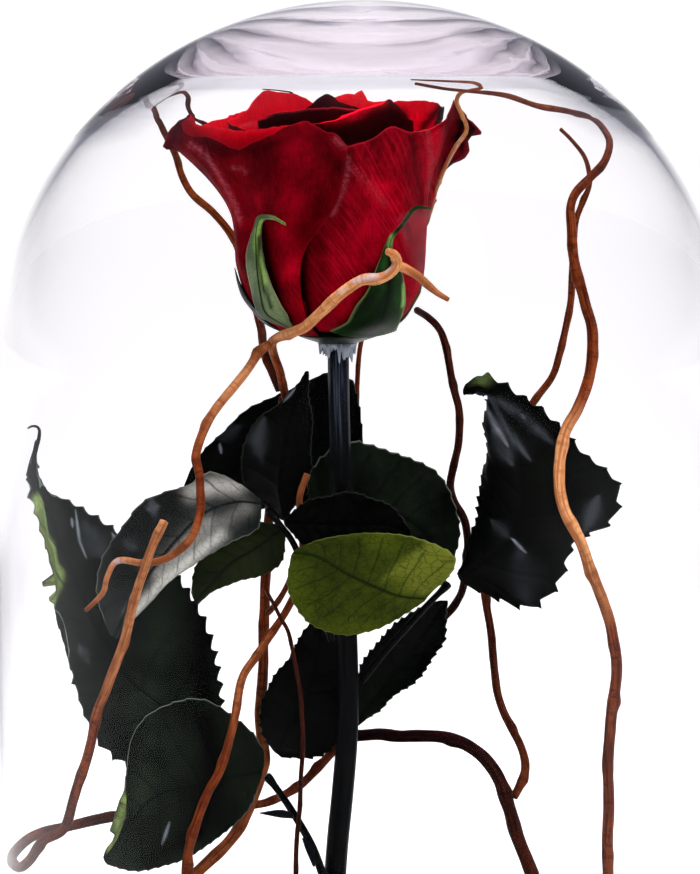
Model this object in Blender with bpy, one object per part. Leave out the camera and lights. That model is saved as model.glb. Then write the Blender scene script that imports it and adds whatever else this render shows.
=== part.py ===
"""A preserved red rose with curly willow twigs under a glass dome on a round wooden base.

Blender metres, +Z up, origin at the centre of the base's underside. The twigs, leaves and sepals
are given as hand-chosen spots in the front view: across, down and depth, where depth is in
millimetres from the middle plane, minus towards the viewer. spot() turns one into millimetres.
"""
import math

import bpy
from mathutils import Vector

# Base and dome, in millimetres.
BASE_RADIUS = 115.0
BASE_EDGE_HEIGHT = 16.0
PLATEAU_RADIUS = 96.4
PLATEAU_HEIGHT = 22.0
EDGE_ROUND = 3.0
DOME_RADIUS = 100.0
DOME_WALL = 2.5
DOME_CENTRE_HEIGHT = 220.0
REST_GAP = 0.3
PLANT_FOOT = PLATEAU_HEIGHT + 0.4

# The front view that the spots are given in.
VIEW_DISTANCE = 900.0
VIEW_ELEVATION = math.radians(6.0)
VIEW_SCALE = 0.2686
VIEW_MIDDLE = (350.0, 437.0)
VIEW_TARGET = (-3.7, 203.4)

# The rose head.
ROSE_FOOT = (-7.0, 0.0, 231.0)
ROSE_LEAN = 1.2
PETAL_COUNT = 14
PETAL_THICKNESS = 0.45
INNER_SCALE = 0.10
INNER_LIFT = 15.0
CUP_HEIGHT = 66.0
CUP = ((0, 12.0), (3, 18.0), (7, 21.5), (11, 24.0), (18, 25.6), (26, 25.6), (36, 26.2),
       (42, 26.9), (46, 28.2), (50, 29.8), (55, 31.5), (60, 32.5), (70, 33.0))
LEFT_FLARE = (186, 1.5, 33.0, 22.0, 18.0)
RIGHT_FLARE = (25, 8.0, 41.0, 12.0, 14.0)
STEM_RADIUS = 2.95

# Triangle counts of the faceted pieces.
TURN_STEPS = 36
ARC_STEPS = 7
TWIG_SIDES = 5
TWIG_STEP_SHARE = 0.9
STEM_SIDES = 10
LEAF_STEPS = (7, 4)
PETAL_STEPS = (6, 7)
SEPAL_STEPS = (6, 2)
LEAF_THICKNESS = 0.7
SEPAL_THICKNESS = 0.6


def clear_scene():
    for old in list(bpy.data.objects):
        bpy.data.objects.remove(old, do_unlink=True)


def material(name, colour, rough, metallic=0.0, through=0.0):
    made = bpy.data.materials.new(name)
    made.use_nodes = True
    shader = made.node_tree.nodes["Principled BSDF"]
    shader.inputs["Base Color"].default_value = (*colour, 1.0)
    shader.inputs["Roughness"].default_value = rough
    shader.inputs["Metallic"].default_value = metallic
    shader.inputs["Transmission Weight"].default_value = through
    return made


def add_object(name, points, faces, slot, smooth=True):
    mesh = bpy.data.meshes.new(name)
    mesh.from_pydata([[c * 0.001 for c in p] for p in points], [], faces)
    mesh.update()
    made = bpy.data.objects.new(name, mesh)
    bpy.context.scene.collection.objects.link(made)
    mesh.materials.append(slot)
    for polygon in mesh.polygons:
        polygon.use_smooth = smooth
    return made


def spot(across, down, depth):
    """The place in millimetres that the front view shows at this spot and depth."""
    near = VIEW_DISTANCE * math.cos(VIEW_ELEVATION)
    high = VIEW_TARGET[1] + VIEW_DISTANCE * math.sin(VIEW_ELEVATION)
    side = (across - VIEW_MIDDLE[0]) * VIEW_SCALE / VIEW_DISTANCE
    up = (VIEW_MIDDLE[1] - down) * VIEW_SCALE / VIEW_DISTANCE
    forward = math.cos(VIEW_ELEVATION) + up * math.sin(VIEW_ELEVATION)
    rise = -math.sin(VIEW_ELEVATION) + up * math.cos(VIEW_ELEVATION)
    reach = (depth + near) / forward
    return Vector((VIEW_TARGET[0] + reach * side, depth, high + reach * rise))


def smooth_path(points, steps):
    """Evenly stepped places along a Catmull-Rom curve through the points."""
    ends = [points[0] * 2 - points[1]] + list(points) + [points[-1] * 2 - points[-2]]
    fine = []
    for i in range(1, len(ends) - 2):
        a, b, c, d = ends[i - 1], ends[i], ends[i + 1], ends[i + 2]
        for k in range(12):
            t = k / 12
            fine.append(0.5 * (2 * b + (c - a) * t + (2 * a - 5 * b + 4 * c - d) * t * t
                               + (3 * b - a - 3 * c + d) * t ** 3))
    fine.append(points[-1].copy())
    run = [0.0]
    for p, q in zip(fine, fine[1:]):
        run.append(run[-1] + (q - p).length)
    placed = []
    j = 0
    for i in range(steps + 1):
        want = run[-1] * i / steps
        while j < len(run) - 2 and run[j + 1] < want:
            j += 1
        share = (want - run[j]) / max(run[j + 1] - run[j], 1e-9)
        placed.append(fine[j].lerp(fine[j + 1], min(max(share, 0.0), 1.0)))
    return placed


def sweep(path, radii, sides):
    """Points and faces of a closed round rod along the path."""
    points = []
    faces = []
    side = None
    last = len(path) - 1
    for i, place in enumerate(path):
        along = (path[min(i + 1, last)] - path[max(i - 1, 0)]).normalized()
        if side is None:
            side = along.orthogonal().normalized()
        side = (side - along * side.dot(along)).normalized()
        other = along.cross(side)
        for k in range(sides):
            turn = 2 * math.pi * k / sides
            points.append(place + radii[i] * (math.cos(turn) * side + math.sin(turn) * other))
    for i in range(last):
        for k in range(sides):
            a = i * sides + k
            b = i * sides + (k + 1) % sides
            faces.append((a, b, b + sides))
            faces.append((a, b + sides, a + sides))
    faces.append(tuple(reversed(range(sides))))
    faces.append(tuple(last * sides + k for k in range(sides)))
    return points, faces


def sheet(rows, thickness):
    """Points and faces of a thin closed sheet with its middle on the grid of rows."""
    high = len(rows) - 1
    wide = len(rows[0]) - 1
    front = []
    back = []
    for i in range(high + 1):
        for j in range(wide + 1):
            up = rows[min(i + 1, high)][j] - rows[max(i - 1, 0)][j]
            over = rows[i][min(j + 1, wide)] - rows[i][max(j - 1, 0)]
            normal = over.cross(up).normalized()
            front.append(rows[i][j] + normal * thickness / 2)
            back.append(rows[i][j] - normal * thickness / 2)
    count = len(front)
    faces = []
    for i in range(high):
        for j in range(wide):
            a = i * (wide + 1) + j
            b = a + 1
            c = a + wide + 2
            d = a + wide + 1
            faces += [(a, b, c), (a, c, d)]
            faces += [(count + c, count + b, count + a), (count + d, count + c, count + a)]
    border = [j for j in range(wide)]
    border += [i * (wide + 1) + wide for i in range(high)]
    border += [high * (wide + 1) + j for j in range(wide, 0, -1)]
    border += [i * (wide + 1) for i in range(high, 0, -1)]
    for a, b in zip(border, border[1:] + border[:1]):
        faces += [(b, a, count + a), (b, count + a, count + b)]
    return front + back, faces


def turned(profile, steps):
    """Points and faces of a closed shape turned around +Z. Both ends of the profile lie on the axis,
    or the profile is a closed ring."""
    points = []
    rings = []
    for radius, height in profile:
        if radius < 1e-6:
            rings.append([len(points)])
            points.append(Vector((0, 0, height)))
            continue
        rings.append([len(points) + k for k in range(steps)])
        for k in range(steps):
            turn = 2 * math.pi * k / steps
            points.append(Vector((radius * math.cos(turn), radius * math.sin(turn), height)))
    faces = []
    for low, top in zip(rings, rings[1:]):
        for k in range(steps):
            n = (k + 1) % steps
            if len(low) == 1:
                faces.append((low[0], top[n], top[k]))
            elif len(top) == 1:
                faces.append((low[k], low[n], top[0]))
            else:
                faces.append((low[k], low[n], top[n]))
                faces.append((low[k], top[n], top[k]))
    return points, faces


def between(table, x):
    """The value at x on straight lines between the table's pairs."""
    for (x0, y0), (x1, y1) in zip(table, table[1:]):
        if x <= x1:
            return y0 + (y1 - y0) * (x - x0) / (x1 - x0)
    return table[-1][1]


def make_base(slot):
    top = PLATEAU_HEIGHT
    edge = BASE_EDGE_HEIGHT
    r = EDGE_ROUND
    profile = [(0, 0), (BASE_RADIUS - 1.0, 0), (BASE_RADIUS, 1.0), (BASE_RADIUS, edge - r)]
    profile += [(BASE_RADIUS - r + r * math.cos(a), edge - r + r * math.sin(a))
                for a in (math.pi / 4, math.pi / 2)]
    profile += [(PLATEAU_RADIUS, edge), (PLATEAU_RADIUS, top - 0.8), (PLATEAU_RADIUS - 0.8, top)]
    profile += [(0, top)]
    add_object("base", *turned(profile, TURN_STEPS), slot)


def make_dome(slot):
    inner = DOME_RADIUS - DOME_WALL
    foot = BASE_EDGE_HEIGHT + REST_GAP
    middle = DOME_CENTRE_HEIGHT
    arcs = [math.pi / 2 * k / ARC_STEPS for k in range(1, ARC_STEPS)]
    profile = [(0, middle + inner)]
    profile += [(inner * math.sin(a), middle + inner * math.cos(a)) for a in arcs]
    profile += [(inner, middle), (inner, foot + 0.6), (inner + 0.6, foot)]
    profile += [(DOME_RADIUS - 0.6, foot), (DOME_RADIUS, foot + 0.6), (DOME_RADIUS, middle)]
    profile += [(DOME_RADIUS * math.sin(a), middle + DOME_RADIUS * math.cos(a))
                for a in reversed(arcs)]
    profile += [(0, middle + DOME_RADIUS)]
    add_object("glass_dome", *turned(profile, TURN_STEPS), slot)


def cup_radius(layer, angle, height):
    """How far from the rose's axis the petal layer lies. layer runs from 0 inside to 1 outside."""
    scale = INNER_SCALE + (1 - INNER_SCALE) * layer
    lift = INNER_LIFT * (1 - layer)
    reach = (height - lift) * CUP_HEIGHT / (CUP_HEIGHT - lift)
    radius = scale * between(CUP, max(reach, 0.0))
    for middle, power, start, run, most in (LEFT_FLARE, RIGHT_FLARE):
        rise = min(max(height - start, 0.0) / run, 1.0)
        facing = max(math.cos(angle - math.radians(middle)), 0.0) ** power
        radius += layer ** 2 * most * facing * rise
    return radius


def on_rose(angle, radius, height):
    lean = ROSE_LEAN * math.sin(math.pi * min(height / CUP_HEIGHT, 1.0))
    return Vector((ROSE_FOOT[0] - lean + radius * math.cos(angle),
                   ROSE_FOOT[1] + radius * math.sin(angle), ROSE_FOOT[2] + height))


def petal_rows(layer, middle, half, rim, steps):
    """Grid of a petal: middle and half in degrees around the rose, rim as five heights across."""
    low = INNER_LIFT * (1 - layer) + 0.6
    table = [(-1 + 0.5 * k, h) for k, h in enumerate(rim)]
    rows = []
    for i in range(steps[0] + 1):
        v = i / steps[0]
        width = half * (0.62 + 0.38 * math.sin(math.pi / 2 * min(v * 1.5, 1.0)))
        row = []
        for j in range(steps[1] + 1):
            a = -1 + 2 * j / steps[1]
            height = low + (between(table, a) - low) * v
            angle = math.radians(middle + width * a)
            row.append(on_rose(angle, cup_radius(layer, angle, height), height))
        rows.append(row)
    return rows


# Outermost first: middle angle, half width, and five rim heights, in degrees and millimetres.
OUTER_PETALS = (
    (-136, 55, (50, 57, 54.4, 56.5, 49)),
    (-50, 59, (49, 51.5, 54, 57, 59)),
    (26, 46, (57, 60, 62, 62.8, 62.5)),
    (112, 60, (61.5, 64.5, 62, 61.2, 57)),
    (158, 46, (63.2, 65.5, 60, 56.5, 54.5)),
    (-70, 75, (54, 56, 60, 59.5, 54)),
    (-105, 60, (57, 59, 60.4, 59.6, 57)),
    (-95, 50, (57.5, 60, 63.5, 60.4, 57.5)),
)


def petals():
    """Layer, middle, half width and rim of every petal, from the innermost out."""
    found = []
    for k in range(PETAL_COUNT):
        layer = k / (PETAL_COUNT - 1)
        outer = PETAL_COUNT - 1 - k
        if outer < len(OUTER_PETALS):
            middle, half, rim = OUTER_PETALS[outer]
        else:
            middle = 137.5 * k + 40
            half = 74 - 1.2 * k
            tall = 57.0 + 0.3 * k + 1.6 * math.sin(2.4 * k)
            rim = (tall - 7, tall - 1, tall, tall - 1.5, tall - 8)
        found.append((layer, middle, half, rim))
    return found


# Sepals on the outside of the head: middle angle, half width, foot, tip height, how far off.
SEPALS = {
    "sepal_front_left": (-138, 13, 0.5, 33, 1.5),
    "sepal_front_right": (-54, 16, 0.5, 27, 1.2),
    "sepal_right": (32, 12, 0.5, 35, 1.2),
    "sepal_back": (95, 18, 0.5, 28, 1.2),
    "sepal_left": (184, 24, 0.5, 18, 1.2),
}


def sepal_rows(middle, half, low, tip, off, steps):
    rows = []
    for i in range(steps[0] + 1):
        v = i / steps[0]
        width = half * (1 - v ** 1.6) * (0.7 + 0.5 * v) + 1.0
        height = low + (tip - low) * v
        row = []
        for j in range(steps[1] + 1):
            a = -1 + 2 * j / steps[1]
            angle = math.radians(middle + width * a)
            radius = cup_radius(1.0, angle, height) + off + 0.5 * v * v
            row.append(on_rose(angle, radius, height))
        rows.append(row)
    return rows


def make_rose(petal_slot, sepal_slot):
    for k, (layer, middle, half, rim) in enumerate(petals()):
        rows = petal_rows(layer, middle, half, rim, PETAL_STEPS)
        add_object("petal_%02d" % (k + 1), *sheet(rows, PETAL_THICKNESS), petal_slot)
    for name, values in SEPALS.items():
        add_object(name, *sheet(sepal_rows(*values, SEPAL_STEPS), SEPAL_THICKNESS), sepal_slot)
    profile = [(0, -3.0), (3.2, -2.9), (4.6, -2.2), (8.5, -1.0), (11.0, -0.2), (10.6, 0.2),
               (5.9, 7.0), (1.0, 14.0), (0, 14.1)]
    points, faces = turned(profile, 12)
    moved = [p + Vector(ROSE_FOOT) for p in points]
    add_object("receptacle", moved, faces, sepal_slot)


STEM = ((338, 348.5, 0), (339, 400, 0), (341, 470, 0), (344, 560, 0), (348, 660, 0), (348, 725, 0),
        (343, 790, 0), (338, 839, 0), (335, 890, 0), (334, 1000, 0), (334, 1110, 0))

# Leaves as three lines from foot to tip: one edge, the midrib, the other edge.
LEAVES = {
    "leaf_far_left": (
        ((196, 752, 2), (220, 715, 3), (220, 675, 4), (205, 618, 5), (165, 560, 5), (123, 533, 4),
         (74, 504, 3), (43, 489, 1), (36, 460, 0), (38, 440, -1)),
        ((190, 754, 2), (161, 707, 6), (125, 676, 8), (100, 635, 8), (75, 580, 7), (55, 530, 5),
         (40, 490, 2), (33, 462, 0), (36, 440, -1)),
        ((182, 757, 2), (150, 778, 4), (120, 762, 5), (96, 740, 5), (76, 696, 4), (64, 640, 2),
         (50, 590, 0), (32, 515, 0), (26, 480, -1), (34, 440, -1)),
    ),
    "leaf_silver": (
        ((262, 500, -8), (240, 485, -10), (210, 471, -13), (185, 486, -15), (145, 500, -15),
         (122, 526, -15), (101, 562, -14), (97, 596, -14), (110, 634, -14)),
        ((262, 503, -8), (235, 502, -7), (205, 512, -8), (180, 535, -10), (155, 565, -11),
         (130, 602, -12), (114, 637, -14)),
        ((262, 506, -8), (258, 528, -8), (232, 542, -9), (194, 564, -11), (165, 587, -13),
         (138, 614, -14), (118, 638, -15)),
    ),
    "leaf_low_left": (
        ((264, 766, -9), (263, 748, -10), (245, 724, -12), (201, 698, -15), (156, 709, -17),
         (134, 733, -17), (127, 766, -17), (124, 800, -18), (104, 856, -20)),
        ((262, 770, -9), (230, 777, -12), (190, 786, -14), (155, 796, -15), (128, 825, -16),
         (105, 860, -20)),
        ((262, 775, -9), (246, 813, -12), (196, 853, -16), (163, 866, -18), (135, 871, -19),
         (108, 864, -20)),
    ),
    "leaf_behind_top": (
        ((363, 447, 18), (361, 410, 18), (352, 380, 17), (328, 373, 17), (268, 399, 17),
         (237, 417, 16), (201, 453, 16), (184, 484, 16)),
        ((361, 450, 18), (320, 440, 20), (270, 445, 20), (225, 465, 18), (184, 487, 16)),
        ((357, 454, 18), (325, 495, 18), (270, 508, 18), (220, 503, 17), (186, 490, 16)),
    ),
    "leaf_upright": (
        ((281, 519, -5), (258, 500, -4), (245, 484, -3), (241, 457, -2), (248, 433, -2),
         (262, 415, -3), (280, 401, -4), (297, 385, -5), (305, 372, -6)),
        ((284, 520, -5), (278, 490, -2), (280, 460, 0), (286, 430, -1), (295, 402, -3),
         (303, 386, -5), (307, 371, -6)),
        ((287, 519, -5), (294, 505, -4), (305, 490, -3), (311, 470, -2), (312, 440, -2),
         (312, 412, -3), (309, 390, -5), (309, 372, -6)),
    ),
    "leaf_behind_right": (
        ((310, 512, 8), (308, 475, 8), (328, 450, 9), (351, 441, 9), (382, 447, 10),
         (416, 460, 10), (445, 481, 11), (460, 523, 12), (455, 556, 12), (446, 580, 12)),
        ((312, 515, 8), (345, 505, 10), (390, 510, 12), (425, 535, 13), (444, 583, 12)),
        ((314, 518, 8), (335, 545, 8), (370, 572, 9), (410, 588, 11), (440, 585, 12)),
    ),
    "leaf_across": (
        ((284, 518, -13), (306, 501, -13), (346, 492, -13), (382, 501, -12), (400, 514, -11),
         (411, 530, -11)),
        ((284, 522, -13), (310, 524, -11), (350, 525, -10), (385, 525, -10), (411, 534, -11)),
        ((286, 526, -13), (304, 545, -12), (340, 556, -12), (375, 553, -11), (410, 538, -11)),
    ),
    "leaf_lit": (
        ((428, 595, -11), (450, 575, -14), (455, 557, -16), (438, 545, -17), (402, 534, -18),
         (360, 533, -19), (320, 539, -20), (296, 549, -20)),
        ((426, 598, -11), (395, 594, -16), (350, 575, -18), (318, 557, -20), (293, 552, -20)),
        ((424, 601, -11), (398, 619, -14), (373, 630, -16), (342, 635, -17), (311, 624, -18),
         (295, 606, -19), (287, 584, -20), (291, 556, -20)),
    ),
    "leaf_right": (
        ((457, 573, -6), (466, 552, -4), (473, 516, -2), (483, 479, 0), (484, 434, 1),
         (486, 402, 0), (482, 392, -2), (464, 395, -6)),
        ((459, 578, -6), (495, 552, -9), (520, 510, -9), (520, 460, -7), (505, 420, -5),
         (490, 393, -4), (463, 390, -6)),
        ((462, 582, -6), (490, 598, -6), (530, 607, -4), (560, 582, -2), (578, 545, 0),
         (612, 520, 2), (617, 483, 2), (587, 453, 0), (545, 412, -2), (508, 386, -5),
         (484, 374, -7), (466, 384, -8)),
    ),
    "leaf_olive": (
        ((280, 524, 3), (245, 520, 4), (215, 535, 4), (195, 565, 4), (191, 592, 3)),
        ((283, 529, 3), (255, 548, 2), (225, 567, 2), (194, 600, 3)),
        ((286, 534, 3), (282, 562, 2), (262, 575, 2), (240, 581, 2), (215, 590, 2), (198, 604, 3)),
    ),
    "leaf_low_middle": (
        ((274, 751, 3), (262, 735, 4), (260, 712, 5), (263, 694, 5), (288, 656, 6), (305, 630, 7),
         (318, 612, 7)),
        ((278, 754, 3), (293, 722, 7), (308, 690, 8), (318, 655, 9), (322, 610, 7)),
        ((282, 757, 3), (312, 758, 6), (335, 747, 7), (345, 715, 7), (345, 680, 8), (340, 645, 8),
         (327, 610, 7)),
    ),
    "leaf_low_right": (
        ((352, 722, 7), (352, 690, 8), (366, 655, 9), (392, 626, 9), (420, 606, 9), (440, 600, 9)),
        ((355, 724, 7), (378, 692, 10), (402, 660, 11), (426, 630, 11), (444, 600, 9)),
        ((359, 725, 7), (395, 697, 8), (421, 676, 9), (438, 652, 9), (447, 630, 9), (448, 600, 9)),
    ),
}

# Leaf stalks: line, and the radius at both ends.
STALKS = {
    "stalk_right": (((362, 680, -1), (385, 651, -3), (405, 629, -5), (428, 604, -6),
                     (449, 583, -6)), 1.1, 0.8),
    "stalk_left": (((332, 640, -3), (320, 606, -6), (304, 566, -10), (292, 540, -10),
                    (280, 524, -9), (268, 508, -8)), 1.0, 0.8),
    "stalk_low": (((325, 880, -3), (312, 845, -5), (292, 810, -6), (277, 788, -7),
                   (267, 775, -8)), 1.2, 0.9),
}

# Willow twigs: line from the thick end, radii along it, step count, and the twig it leaves.
TWIGS = {
    "willow_left_trunk": (((108, 1100, 20), (135, 980, 14), (165, 905, 8), (201, 868, 4),
                           (237, 830, 2), (257, 785, 4), (264, 756, 8), (260, 725, 11),
                           (262, 680, 12), (264, 620, 12), (266, 574, 12), (268, 530, 12),
                           (272, 480, 11), (279, 430, 10), (283, 398, 8)),
                          (1.8, 1.25), 26, None),
    "willow_left_top": (((283, 398, 8), (272, 371, 8), (264, 350, 12), (260, 325, 22),
                         (252, 290, 32), (240, 255, 36), (233, 238, 37), (214, 214, 38),
                         (194, 196, 38), (181, 174, 37), (175, 152, 34), (165, 132, 28),
                         (156, 109, 22), (153, 98, 20), (161, 92, 20), (178, 90, 21),
                         (188, 95, 22), (194, 107, 24), (205, 121, 28), (226, 129, 34),
                         (255, 119, 41), (280, 99, 43), (292, 91, 41), (279, 86, 37),
                         (262, 85, 35)),
                        (1.2, 1.2, 1.15, 1.1, 1.0, 0.8, 0.6, 0.5, 0.4), 36, "willow_left_trunk"),
    "willow_front_right": (((286, 400, 4), (281, 375, -2), (275, 360, -6), (272, 345, -11),
                            (278, 338, -17), (295, 331, -26), (306, 326, -30), (322, 312, -33),
                            (335, 299, -35), (351, 287, -36), (364, 280, -37), (378, 279, -38),
                            (390, 274, -39), (397, 266, -40), (395, 256, -41), (389, 251, -44)),
                           (1.2, 1.2, 1.35, 1.75, 1.9, 1.85, 1.7, 1.2), 20, "willow_left_trunk"),
    "willow_front_left": (((275, 342, -14), (262, 350, -15), (248, 369, -20), (233, 387, -24),
                           (217, 407, -28), (204, 430, -31), (196, 455, -34), (200, 475, -35),
                           (201, 494, -36), (200, 512, -37), (192, 537, -38), (177, 552, -37),
                           (160, 560, -36), (143, 562, -34), (118, 561, -32), (108, 577, -33),
                           (104, 593, -33), (87, 610, -31)), (1.15, 0.55), 22,
                          "willow_front_right"),
    "willow_spur": (((398, 266, -40), (408, 271, -38), (418, 277, -38), (436, 292, -40),
                     (448, 300, -41)), (1.25, 1.1, 0.6), 4, "willow_front_right"),
    "willow_loop": (((247, 812, 2), (200, 812, 0), (160, 806, 4), (117, 815, 3), (89, 821, 0),
                     (56, 829, -6), (33, 836, -10), (17, 849, -13), (12, 859, -15),
                     (20, 867, -18), (32, 859, -21), (45, 840, -24), (65, 829, -27),
                     (74, 801, -29), (89, 756, -30), (98, 712, -31), (107, 689, -32),
                     (124, 645, -33), (134, 605, -35), (148, 560, -40), (165, 521, -42)),
                    (1.5, 1.15), 30, "willow_left_trunk"),
    "willow_cross": (((252, 805, 3), (270, 800, 6), (300, 785, 12), (332, 752, 18),
                      (345, 738, 18)), (1.1, 1.3), 5, "willow_left_trunk"),
    "willow_front_trunk": (((187, 1110, -34), (187, 980, -34), (187, 874, -32), (192, 837, -31),
                            (208, 794, -29), (221, 767, -27), (234, 720, -23), (242, 678, -18),
                            (257, 654, -14), (274, 629, -9), (288, 607, -5), (299, 585, -3),
                            (303, 560, -3), (303, 541, -5), (301, 515, -7), (300, 495, -9),
                            (307, 474, -10)), (1.5, 0.9), 22, None),
    "willow_side": (((268, 612, 10), (278, 600, 6), (287, 584, 4), (293, 566, 3),
                     (296, 552, 3)), (0.9, 0.6), 4, "willow_left_trunk"),
    "willow_right_trunk": (((560, 1110, -6), (560, 1060, -6), (552, 960, -5), (540, 900, -4),
                            (528, 862, -3), (516, 832, -2), (508, 805, -1), (500, 780, 1),
                            (487, 760, 3), (470, 746, 5), (450, 738, 7), (430, 735, 9),
                            (400, 736, 12), (380, 734, 15), (355, 735, 18)), (2.2, 1.6), 22, None),
    "willow_right_back": (((511, 800, 0), (519, 787, 2), (525, 770, 6), (523, 752, 10),
                           (513, 730, 14), (504, 712, 17), (497, 690, 19), (494, 660, 21),
                           (491, 630, 22), (487, 605, 23), (483, 570, 24), (490, 520, 25),
                           (510, 450, 25), (532, 405, 25), (552, 378, 25), (560, 356, 24),
                           (566, 329, 22), (571, 300, 20), (573, 270, 17), (574, 245, 14),
                           (577, 219, 12), (589, 187, 10), (589, 170, 9), (584, 154, 7),
                           (573, 140, 5), (561, 129, 3)),
                          (1.2, 1.15, 1.1, 1.05, 1.0, 0.9, 0.5), 30, "willow_right_trunk"),
    "willow_right": (((600, 1110, -14), (604, 1060, -14), (607, 980, -15), (607, 874, -17),
                      (608, 801, -19), (609, 734, -21), (615, 678, -23), (615, 651, -24),
                      (608, 618, -26), (599, 592, -27), (589, 568, -28), (580, 543, -29),
                      (570, 523, -29), (562, 501, -28), (559, 478, -27), (560, 452, -25),
                      (565, 430, -23), (578, 407, -21), (587, 383, -19), (592, 356, -18),
                      (591, 325, -17), (584, 300, -16), (574, 262, -15), (571, 228, -14),
                      (570, 209, -13), (576, 193, -12), (590, 178, -11), (604, 162, -10),
                      (610, 144, -9), (607, 130, -9), (599, 118, -10), (588, 112, -11),
                      (570, 110, -14), (539, 108, -18), (502, 97, -22), (462, 92, -26),
                      (441, 89, -28), (415, 83, -30)),
                     (1.5, 1.5, 1.5, 1.5, 1.5, 1.5, 1.5, 1.45, 1.1, 0.75, 0.5), 38, None),
    "willow_middle": (((336, 1105, 22), (335, 960, 22), (338, 839, 22), (344, 770, 23),
                       (354, 722, 24), (372, 700, 24), (402, 664, 25), (430, 632, 25),
                       (450, 611, 25), (457, 601, 24),
                       (463, 588, 22), (467, 560, 19), (466, 523, 17), (454, 501, 16),
                       (450, 485, 15), (455, 463, 13), (459, 441, 11), (459, 412, 11),
                       (454, 389, 12), (446, 349, 15), (439, 329, 20), (428, 317, 24),
                       (417, 310, 30)), (1.3, 1.0), 26, None),
    "willow_thin_back": (((333, 1105, 36), (335, 960, 36), (340, 839, 36), (346, 760, 36),
                          (349, 640, 36), (352, 520, 34), (356, 440, 33), (358, 380, 34),
                          (362, 338, 38), (380, 295, 38), (405, 262, 31), (418, 240, 22),
                          (425, 225, 15), (431, 208, 9), (435, 192, 5), (440, 178, -4),
                          (448, 161, -9), (457, 146, -12), (467, 131, -13), (462, 117, -14),
                          (456, 103, -15), (462, 94, -18), (481, 88, -22), (474, 82, -23),
                          (447, 79, -25), (411, 75, -27)),
                         (0.9, 0.8, 0.75, 0.7, 0.6, 0.55), 38, None),
    "willow_thin_front": (((300, 1110, -20), (300, 1050, -20), (298, 960, -21), (296, 900, -22),
                           (297, 845, -22), (300, 801, -22), (303, 756, -22), (302, 712, -21),
                           (300, 689, -21), (290, 638, -17), (280, 617, -13), (272, 600, -9),
                           (266, 590, -5)),
                          (0.8, 0.5), 16, None),
}


def along(values, share):
    """The value at this share of the way through evenly spaced values."""
    place = share * (len(values) - 1)
    i = min(int(place), len(values) - 2)
    return values[i] + (values[i + 1] - values[i]) * (place - i)


def clear_of(path, parent, parent_radii, gap):
    """The path without its first places that lie within gap of the parent twig's skin."""
    start = 0
    while start < len(path) - 3:
        far = [(path[start] - place).length for place in parent]
        near = min(far)
        if near > gap + along(parent_radii, far.index(near) / (len(far) - 1)):
            break
        start += 1
    return path[start:]


def above_base(path):
    """The path with its foot cut level with the top of the base."""
    kept = [p for p in path if p.z > PLANT_FOOT + 2.0]
    below = [p for p in path if p.z <= PLANT_FOOT + 2.0]
    if not below:
        return path
    foot = kept[0].copy()
    foot.z = PLANT_FOOT + 0.6
    return [foot] + kept


def leaf_rows(lines, steps):
    edges = [smooth_path([spot(*p) for p in line], steps[0]) for line in lines]
    rows = []
    for one, rib, other in zip(*edges):
        row = []
        for j in range(steps[1] + 1):
            a = -1 + 2 * j / steps[1]
            row.append(one * (a * (a - 1) / 2) + rib * (1 - a * a) + other * (a * (a + 1) / 2))
        rows.append(row)
    return rows


def radii_along(values, count):
    return [along(values, i / (count - 1)) for i in range(count)]


def make_stem(slot):
    path = above_base(smooth_path([spot(*p) for p in reversed(STEM)], 10))
    add_object("rose_stem", *sweep(path, [STEM_RADIUS] * len(path), STEM_SIDES), slot)


def make_leaves(slots, stalk_slot):
    for name, lines in LEAVES.items():
        slot = slots.get(name, slots[None])
        add_object(name, *sheet(leaf_rows(lines, LEAF_STEPS), LEAF_THICKNESS), slot)
    for name, (line, first, last) in STALKS.items():
        path = smooth_path([spot(*p) for p in line], 6)
        add_object(name, *sweep(path, radii_along((first, last), len(path)), TWIG_SIDES), stalk_slot)


def make_twigs(slot):
    lines = {}
    for name, (spots, radii, steps, parent) in TWIGS.items():
        line = smooth_path([spot(*p) for p in spots], steps * 4)
        lines[name] = line
        path = line
        if parent:
            path = clear_of(line, lines[parent], TWIGS[parent][1], radii[0] + 0.3)
        path = above_base(smooth_path(path, round(steps * TWIG_STEP_SHARE)))
        add_object(name, *sweep(path, radii_along(radii, len(path)), TWIG_SIDES), slot)


def main():
    clear_scene()
    wood = material("wood_base", (0.16, 0.08, 0.04), 0.45)
    glass = material("dome_glass", (1.0, 1.0, 1.0), 0.0, through=1.0)
    stem = material("rose_stem", (0.02, 0.03, 0.03), 0.35)
    petal = material("rose_petal", (0.30, 0.01, 0.02), 0.55)
    sepal = material("sepal_green", (0.05, 0.10, 0.03), 0.6)
    dark = material("leaf_dark", (0.01, 0.02, 0.015), 0.35)
    silver = material("leaf_silver", (0.20, 0.22, 0.20), 0.4)
    lit = material("leaf_lit", (0.20, 0.26, 0.03), 0.45)
    bark = material("willow_bark", (0.35, 0.13, 0.05), 0.55)
    make_base(wood)
    make_dome(glass)
    make_stem(stem)
    make_rose(petal, sepal)
    make_leaves({None: dark, "leaf_silver": silver, "leaf_lit": lit, "leaf_olive": lit}, stem)
    make_twigs(bark)


main()
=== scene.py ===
"""The looks of a preserved red rose with curly willow twigs under a glass dome on a wooden base.

Every piece is built finely on the same lines as its solid. Lengths are in millimetres until a mesh
is made. Twigs, leaves and sepals are given as spots in the front view: across, down and
depth, where depth is in millimetres from the middle plane, minus towards the viewer.
"""
import random
from math import atan2, cos, degrees, exp, hypot, pi, radians, sin, tan

import bpy
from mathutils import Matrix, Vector, noise


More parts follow.
